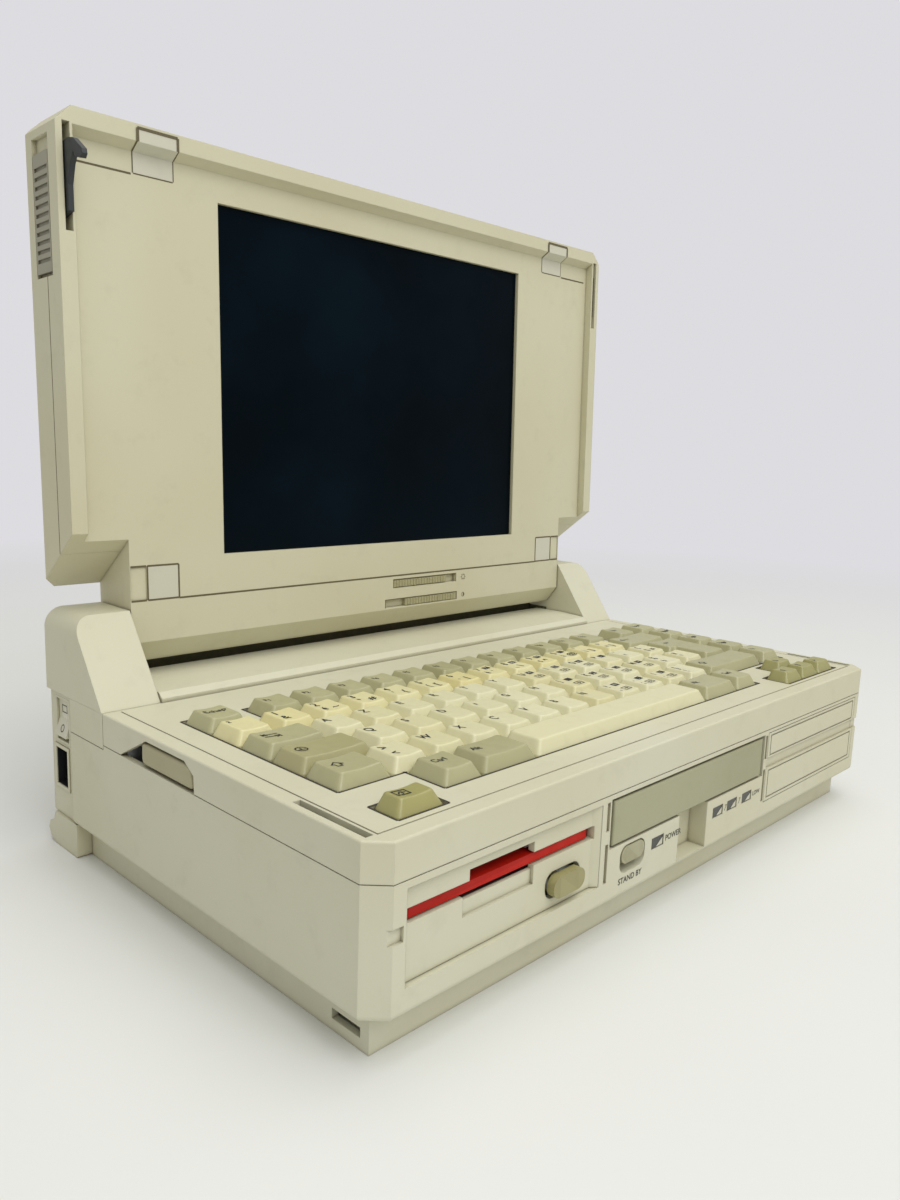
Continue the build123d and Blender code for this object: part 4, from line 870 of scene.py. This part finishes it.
class COMPUTER_OT_print_legends(bpy.types.Operator):
    """Prints the legends on the keycaps"""
    bl_idname = "computer.print_legends"
    bl_label = "Print legends"

    def execute(self, context):
        keys = context.scene.computer_keys
        hollow, letter = keys.hollow / MM, keys.letter_size / MM
        texts, places, shapes, pale = [], [], {}, {}
        for node, left, near, along, across, _, legends in KEY_ROWS:
            shape = shapes.setdefault(node, bmesh.new())
            pressed = 0.0 if along > LONG_KEY else hollow
            for number, legend in enumerate(legends):
                corner = (left + number * along, near)
                top = self.cap_surface(corner, along, pressed)
                x = corner[0] + CAP_GAP + SIDE_LEAN + 1.0
                back = near + across - CAP_GAP - BACK_LEAN - 1.0
                if legend in MARKS:
                    right, up, swell = SHALLOW_MARK if across < PITCH else FULL_MARK
                    place = self.shifted(top, x + right, back + up)
                    print_mark(shape, legend, MARK_WEIGHT, place, swell)
                    continue
                parts = legend.split(" ")
                single = len(legend) > 2 and len(parts) == 1
                size = letter * (1.1 if len(parts) > 1 else 1.0)
                spots = [(x, back - 0.6 - 0.72 * size), (x + 0.4, back - LOWER_DROP),
                         (x + 5.6, back - LOWER_DROP)]
                if single or legend.startswith("F"):
                    size = letter * (0.68 if legend.startswith("F") else 0.75)
                    spots = [(x, back - 4.6 - 0.36 * size)]
                for part, spot in zip(parts, spots):
                    texts.append((part, size * (1.0 if part is parts[0] else 0.9)))
                    places.append((shape, self.shifted(top, *spot)))
                if parts[0] in KEYPAD:
                    low = (x + 6.0, back - 4.2)
                    high = (low[0] + FIGURE_SQUARE, low[1] + FIGURE_SQUARE)
                    corners = [low, (high[0], low[1]), high, (low[0], high[1])]
                    add_face(shape, [top(*corner) for corner in corners])
                    texts.append((KEYPAD[parts[0]], FIGURE_SIZE))
                    places.append((pale.setdefault(node, bmesh.new()),
                                   self.shifted(top, low[0] + 0.7, low[1] + 0.5, FIGURE_LIFT)))
                if parts[0] in CURSOR_KEYS:
                    place = self.shifted(top, x + 5.0, back - LOWER_DROP)
                    print_mark(shape, "framed_arrow", 0.35, place)
        for mesh, (shape, place) in zip(words(texts), places):
            print_word(shape, mesh, place)
        enter = shapes.setdefault("enter_key", bmesh.new())
        top = self.cap_surface((ENTER_LEFT, ENTER_NEAR), KEYS_RIGHT - ENTER_LEFT, hollow)
        place = self.shifted(top, ENTER_LEFT + 5, ENTER_NEAR + 1.5 * PITCH)
        print_mark(enter, "enter_arrow", MARK_WEIGHT, place)
        for node, shape in shapes.items():
            if not shape.faces:
                shape.free()
                continue
            finished(shape, f"{node}_legends", "ink", f"{node}_group", "dark_plastic")
        self.shade_gaps()
        for node, shape in pale.items():
            finished(shape, f"{node}_bare_figures", "pad", f"{node}_group", "key_cream")
        return {"FINISHED"}

    @staticmethod
    def shade_gaps():
        """Draws a dark band of painted shade on the keyboard's shell along the gap round each field
        of keys.
        """
        gaps = bmesh.new()
        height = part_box("keyboard_housing")[1].z / MM + 0.03
        for outline in KEY_FIELDS:
            for start, end in zip(outline, outline[1:] + outline[:1]):
                along = (Vector(end) - Vector(start)).normalized()
                outward = Vector((along.y, -along.x)) * GAP_SHADE_OUTSIDE
                print_line(gaps, [Vector(start) + outward, Vector(end) + outward], GAP_SHADE_WEIGHT,
                           lambda x, back: at(x, back, height))
        finished(gaps, "key_field_gap_shade", "gap", "keyboard", "dark_plastic")

    @staticmethod
    def cap_surface(corner, along, hollow):
        """Gives the function that sets a point down on a cap's hollowed top."""
        middle = corner[0] + along / 2
        reach = along / 2 - CAP_GAP - SIDE_LEAN

        def top(x, back, lift=0.0):
            dip = hollow * max(0.0, 1 - ((x - middle) / reach) ** 2)
            return at(x, back, CAP_TOP - dip + LEGEND_LIFT + lift)

        return top

    @staticmethod
    def shifted(top, x, back, lift=0.0):
        """Gives the same function for points counted from a corner of their own."""
        return lambda right, up: top(x + right, back + up, lift)


class COMPUTER_OT_print_front(bpy.types.Operator):
    """Prints the words and signs beside the lamps, the stand-by button and the sliders"""
    bl_idname = "computer.print_front"
    bl_label = "Print front"

    def execute(self, context):
        shape = bmesh.new()
        meshes = words(word[:2] for word in FRONT_WORDS)
        for mesh, (_, _, x, height) in zip(meshes, FRONT_WORDS):
            print_word(shape, mesh, self.on_front(x, height))
        for x in STROKE_PLACES:
            print_line(shape, STROKE, 0.3, self.on_front(x, 29.0))
        finished(shape, "front_lettering", "ink", "base", "dark_plastic")

        signs = bmesh.new()
        sun, moon = (self.on_bezel(*place) for place in SLIDER_SIGNS)
        for place in (sun, moon):
            print_line(signs, ellipse((0, 0), 1.2, 1.2), 0.25, place)
        for step in range(8):
            turn = radians(45 * step)
            ray = [(reach * cos(turn), reach * sin(turn)) for reach in (1.5, 2.0)]
            print_line(signs, ray, 0.25, sun)
        foot, *rest = [(0, -1.0)] + [(cos(radians(a)), sin(radians(a))) for a in range(-90, 91, 30)]
        for corner, following in zip(rest, rest[1:]):
            add_face(signs, [moon(*foot), moon(*corner), moon(*following)])
        finished(signs, "slider_signs", "dirt", "lid", "dark_plastic")

        lenses = bmesh.new()
        for x in LAMP_PLACES:
            spot = self.on_front(x, 30.1, 0.25)
            add_face(lenses, [spot(*corner) for corner in GLINT])
        finished(lenses, "lamp_glints", "pad", "base", "key_cream")
        return {"FINISHED"}

    @staticmethod
    def on_front(x, height, depth=-0.05):
        """Gives the function that sets a point on the front face, from a lower left corner."""
        return lambda right, up: at(x + right, depth, height + up)

    @staticmethod
    def on_bezel(x, rise):
        """Gives the function that sets a point on the lid's bezel, from a lower left corner."""
        return lambda right, up: on_lid(x + right, rise + up, FACE + 0.05)


class COMPUTER_OT_make_sliders(bpy.types.Operator):
    """Makes the ribs on the two sliders, and the tracks that show in their slots"""
    bl_idname = "computer.make_sliders"
    bl_label = "Make slider ribs"

    def execute(self, context):
        pitch = (SLIDER_LENGTH - 2.0) / SLIDER_RIBS
        for node, body, rise, near, ends, half in SLIDERS:
            out = self.reach(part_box(node)[0].y, rise)
            left = near + 1.0 + pitch / 2
            skirt, bed, rib = bmesh.new(), bmesh.new(), bmesh.new()
            self.bar(skirt, ends, (rise - half, rise + half), (FACE - 3.1, FACE - 2.45))
            finished(skirt, f"{node}_skirt", "lid shell", body, "key_grey")
            self.bar(bed, (near + 0.3, near + SLIDER_LENGTH - 0.3), (rise - 1.85, rise + 1.85),
                     (out - 1.0, out + 0.05))
            self.bar(rib, (left - 0.6, left + 0.6), (rise - 1.8, rise + 1.8),
                     (out - 0.1, out + 0.5))
            step = on_lid(pitch, 0, 0) - on_lid(0, 0, 0)
            rows = [row_of(bed, 1, (0, 0, 0), "slider"),
                    row_of(rib, SLIDER_RIBS, step, "slider")]
            finished(joined(rows, ["slider"]), f"{node}_ribs", "slider", body, "key_grey")
        return {"FINISHED"}

    @staticmethod
    def reach(y, rise):
        """How far out from the hinge axis a point lies, from its depth and its rise."""
        return (HINGE_BACK + rise * sin(TILT) - (y / MM - FRONT)) / cos(TILT)

    @staticmethod
    def bar(shape, across, rise, out):
        """Adds a bar with its outer edges cut, from its limits on the lid."""
        cut = 0.25
        low = [on_lid(x, v, out[0]) for v in rise for x in across]
        inset = (across[0] + cut, across[1] - cut)
        high = [on_lid(x, v, out[1]) for v in (rise[0] + cut, rise[1] - cut) for x in inset]
        verts = [shape.verts.new(point) for point in low + high]
        for corners in ((0, 2, 3, 1), (4, 5, 7, 6), (0, 1, 5, 4), (1, 3, 7, 5), (3, 2, 6, 7),
                        (2, 0, 4, 6)):
            shape.faces.new([verts[corner] for corner in corners])


class COMPUTER_OT_make_neck_shade(bpy.types.Operator):
    """Makes the dark strip of painted shade in the gap under the lid's neck, with a block at each
    end
    """
    bl_idname = "computer.make_seal"
    bl_label = "Make neck shade strip"

    def execute(self, context):
        shape = bmesh.new()
        for side in (-1, 1):
            across = (side * NECK_SHADE_HALF, side * (NECK_SHADE_HALF - NECK_SHADE_END_THICKNESS))
            add_block(shape, (min(across), max(across)), *NECK_SHADE_END)
        left, right = ([shape.verts.new(at(x, back, height)) for back, height in NECK_SHADE_SECTION]
                       for x in (-NECK_SHADE_HALF, NECK_SHADE_HALF))
        shape.faces.new(left)
        shape.faces.new(reversed(right))
        bridge(shape, [right, left])
        finished(shape, "neck_shade_strip", "seal", "base", "rubber")
        return {"FINISHED"}


class COMPUTER_OT_make_seams(bpy.types.Operator):
    """Makes dark lines of painted shade, in the brown of the dirt there, in the seams round the
    lid's pads and in its fine lines
    """
    bl_idname = "computer.make_seams"
    bl_label = "Make seam shade"

    def execute(self, context):
        shape = bmesh.new()
        out = FACE + SHADE_LIFT
        foot = (RIM_FOOT, out + RIM_SHADE_LIFT)
        top = (RIM_FOOT + RIM_RISE, LID_FRONT + RIM_SHADE_LIFT)
        for side in (-1, 1):
            near, far = (side * x for x in PAD_ACROSS)
            for x in (near, far):
                self.ribbon(shape, (x, PAD_LOW, out), (x, RIM_FOOT, out), PAD_LINE)
                self.ribbon(shape, (x, *foot), (x, *top), RIM_LINE)
                self.ribbon(shape, (x, *top), (x, PAD_CREST, top[1]), RIM_LINE)
            self.ribbon(shape, (near, PAD_LOW, out), (far, PAD_LOW, out), PAD_LINE)
            self.ribbon(shape, (near, PAD_CREST, top[1]), (far, PAD_CREST, top[1]), RIM_LINE)
            (middle, rise), size = SQUARE_COVER
            left, right = side * middle - size / 2, side * middle + size / 2
            low, high = rise - size / 2, rise + size / 2
            for x, level in ((left, low), (right, high)):
                self.ribbon(shape, (x, low, out), (x, high, out), FACE_LINE)
                self.ribbon(shape, (left, level, out), (right, level, out), FACE_LINE)
        for start, end in FACE_LINES:
            self.ribbon(shape, (*start, out), (*end, out), FACE_LINE)
        # The gap of each side seam, drawn as a strip of painted shade
        level, low, high = SHELL_SEAM
        for side in (-1, 1):
            inner, outer = level - SHELL_GAP_HALF, level + SHELL_GAP_HALF
            spots = [(low, inner), (high, inner), (high, outer), (low, outer)]
            face = add_face(shape, [on_lid(side * LID_SIDE, *spot) for spot in spots])
            face.normal_update()
            if face.normal.x * side < 0:
                face.normal_flip()
        for (left, right), (low, high) in SLOTS:
            self.ribbon(shape, (left - 0.2, high + 0.1, out), (right, high + 0.1, out), SLOT_LINE)
            for x in (left - 0.2, right + 0.2):
                self.ribbon(shape, (x, low, out), (x, high + 0.3, out), SLOT_LINE)
        finished(shape, "lid_seam_shade", "dirt", "lid", "dark_plastic")
        return {"FINISHED"}

    @staticmethod
    def ribbon(shape, start, end, weight):
        """Adds a flat line between two points on the lid, facing outwards."""
        level = start[0] != end[0]
        aside = Vector((0, weight / 2, 0) if level else (weight / 2, 0, 0))
        start, end = Vector(start), Vector(end)
        corners = [start - aside, end - aside, end + aside, start + aside]
        face = add_face(shape, [on_lid(*corner) for corner in corners])
        face.normal_update()
        if face.normal.dot(on_lid(0, 0, 1) - on_lid(0, 0, 0)) < 0:
            face.normal_flip()


class COMPUTER_OT_make_side_details(bpy.types.Operator):
    """Makes the signs on the rocker, the rim of the mains inlet and the release buttons"""
    bl_idname = "computer.make_side_details"
    bl_label = "Make side details"

    def execute(self, context):
        signs = bmesh.new()
        bar = [(-2.2, 2.6), (2.2, 2.6), (2.2, 5.6), (-2.2, 5.6), (-2.2, 2.6)]
        for line in (bar, ellipse((0, -4.3), 1.3, 1.5)):
            print_line(signs, line, 0.4, self.on_rocker)
        finished(signs, "rocker_signs", "ink", "rocker", "dark_plastic")

        low, high = (Vector(corner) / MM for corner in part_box("power_inlet"))
        rim = bmesh.new()
        for near, far, foot, crest in (
                (low.y, low.y + INLET_RIM, low.z, high.z),
                (high.y - INLET_RIM, high.y, low.z, high.z),
                (low.y + INLET_RIM, high.y - INLET_RIM, low.z, low.z + INLET_RIM),
                (low.y + INLET_RIM, high.y - INLET_RIM, high.z - INLET_RIM, high.z)):
            add_block(rim, (low.x - 0.5, low.x), (near - FRONT, far - FRONT), (foot, crest))
        finished(rim, "inlet_rim", "base shell", "base", "base_white")

        for side, node, body in RELEASES:
            shape = bmesh.new()
            loops = []
            for inset, out in RELEASE_RINGS:
                corners = []
                for back, height in RELEASE_OUTLINE:
                    away = Vector((back, height)) - RELEASE_MIDDLE
                    corners.append((RELEASE_MIDDLE.x + away.x * (1 - inset / RELEASE_HALF[0]),
                                    RELEASE_MIDDLE.y + away.y * (1 - inset / RELEASE_HALF[1])))
                ring = rounded_ring(corners, RELEASE_ROUND - inset)
                loops.append([shape.verts.new(at(side * out, back, height))
                              for back, height, _ in ring])
            bridge(shape, loops)
            shape.faces.new(loops[0])
            shape.faces.new(loops[-1])
            bmesh.ops.recalc_face_normals(shape, faces=shape.faces)
            for face in shape.faces:
                face.smooth = len(face.verts) == 4
            finished(shape, f"{node}_shell", "button", body, "key_grey", [node])
        return {"FINISHED"}

    @staticmethod
    def on_rocker(right, up):
        """A point on the rocker's outer faces, from its middle."""
        x = -ROCKER_OUT + ROCKER_HOLLOW * (1 - abs(up) / ROCKER_HALF) - 0.05
        turned = (x * cos(ROCKER_TURN) + up * sin(ROCKER_TURN),
                  up * cos(ROCKER_TURN) - x * sin(ROCKER_TURN))
        return at(ROCKER_PIVOT[0] + turned[0], ROCKER_PIVOT[1] - right,
                  ROCKER_PIVOT[2] + turned[1])


class COMPUTER_OT_set_stage(bpy.types.Operator):
    """Sets the table top, the lights and the camera"""
    bl_idname = "computer.set_stage"
    bl_label = "Set the stage"

    def execute(self, context):
        scene, stage = context.scene, context.scene.computer_stage
        shape = bmesh.new()
        bmesh.ops.create_grid(shape, x_segments=1, y_segments=1, size=6)
        material, tree, shader, place = new_finish("painted table top")
        mottle = remap(tree, noise(tree, place, 3.0, 2.0), 0.3, 0.7, 0.0, 1.0)
        floor = tuple(stage.floor_colour)
        wire(tree, shader, {"Base Color": blend_colours(tree, mottle, floor, scaled(floor, 0.97)),
                            "Roughness": 0.6})
        # Far from the object the table takes the wall's colour, so that no horizon shows
        far = put(tree, "ShaderNodeVectorMath", {0: place}, operation="LENGTH").outputs["Value"]
        fade = remap(tree, far, 0.45, 1.3, 0.0, 1.0)
        seen = put(tree, "ShaderNodeLightPath").outputs["Is Camera Ray"]
        share = put(tree, "ShaderNodeMath", {0: fade, 1: seen}, operation="MULTIPLY")
        wall = {"Color": (*stage.wall_colour, 1), "Strength": 1.0}
        glow = put(tree, "ShaderNodeEmission", wall)
        both = put(tree, "ShaderNodeMixShader", {"Fac": share.outputs["Value"],
                                                 1: shader.outputs["BSDF"],
                                                 2: glow.outputs["Emission"]})
        output = next(node for node in tree.nodes if node.type == "OUTPUT_MATERIAL")
        wire(tree, output, {"Surface": both.outputs["Shader"]})
        finishes["table"] = material
        to_object(shape, "table_top", "table")

        scene.world = bpy.data.worlds.new("soft room")
        scene.world.use_nodes = True
        tree = scene.world.node_tree
        tree.nodes.clear()
        room = put(tree, "ShaderNodeBackground", {"Color": (1.0, 0.99, 0.97, 1),
                                                  "Strength": stage.soft_light})
        wall = put(tree, "ShaderNodeBackground", wall)
        seen = put(tree, "ShaderNodeLightPath").outputs["Is Camera Ray"]
        both = put(tree, "ShaderNodeMixShader", {"Fac": seen, 1: room.outputs["Background"],
                                                 2: wall.outputs["Background"]})
        put(tree, "ShaderNodeOutputWorld", {"Surface": both.outputs["Shader"]})

        for name, place, size, power in LAMPS:
            lamp = bpy.data.lights.new(name, "AREA")
            lamp.size = size
            lamp.energy = power
            holder = add_object(name, lamp)
            holder.location = place
            aim = Vector((0, 0, 0.1)) - Vector(place)
            holder.rotation_euler = aim.to_track_quat("-Z", "Y").to_euler()

        yaw, pitch, roll = (radians(angle) for angle in CAMERA_ANGLES)
        ahead = Vector((sin(yaw) * cos(pitch), cos(yaw) * cos(pitch), sin(pitch)))
        level = Vector((cos(yaw), -sin(yaw), 0))
        above = level.cross(ahead)
        right = level * cos(roll) + above * sin(roll)
        up = above * cos(roll) - level * sin(roll)
        lens = bpy.data.cameras.new("camera")
        lens.lens = stage.focal_length
        lens.sensor_width = 36
        lens.clip_start = 0.01
        camera = add_object("camera", lens)
        turn = Matrix((right, up, -ahead)).transposed()
        camera.matrix_world = Matrix.Translation(at(*CAMERA_PLACE)) @ turn.to_4x4()
        scene.camera = camera
        scene.view_settings.view_transform = "Standard"
        return {"FINISHED"}


class COMPUTER_PT_panel(bpy.types.Panel):
    """Lists the settings and the steps that dress the computer"""
    bl_idname = "COMPUTER_PT_panel"
    bl_label = "Portable computer"
    bl_space_type = "VIEW_3D"
    bl_region_type = "UI"
    bl_category = "Computer"

    def draw(self, context):
        column = self.layout.column()
        scene = context.scene
        for group in (scene.computer_shell, scene.computer_keys, scene.computer_stage):
            for name in group.__annotations__:
                column.prop(group, name)
        for step in STEPS:
            column.operator(step.bl_idname)


STEPS = [COMPUTER_OT_finish_nodes, COMPUTER_OT_make_keycaps, COMPUTER_OT_print_legends,
         COMPUTER_OT_print_front, COMPUTER_OT_make_sliders, COMPUTER_OT_make_neck_shade,
         COMPUTER_OT_make_seams, COMPUTER_OT_make_side_details,
         COMPUTER_OT_set_stage]
CLASSES = [ShellSettings, KeySettings, StageSettings, *STEPS, COMPUTER_PT_panel]


def register():
    for cls in CLASSES:
        bpy.utils.register_class(cls)
    bpy.types.Scene.computer_shell = bpy.props.PointerProperty(type=ShellSettings)
    bpy.types.Scene.computer_keys = bpy.props.PointerProperty(type=KeySettings)
    bpy.types.Scene.computer_stage = bpy.props.PointerProperty(type=StageSettings)


def unregister():
    del bpy.types.Scene.computer_stage
    del bpy.types.Scene.computer_keys
    del bpy.types.Scene.computer_shell
    for cls in reversed(CLASSES):
        bpy.utils.unregister_class(cls)


def main():
    """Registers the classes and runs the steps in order."""
    register()
    bpy.ops.computer.finish_nodes()
    bpy.ops.computer.make_keycaps()
    bpy.ops.computer.print_legends()
    bpy.ops.computer.print_front()
    bpy.ops.computer.make_sliders()
    bpy.ops.computer.make_seal()
    bpy.ops.computer.make_seams()
    bpy.ops.computer.make_side_details()
    bpy.ops.computer.set_stage()


if __name__ == "__main__":
    main()
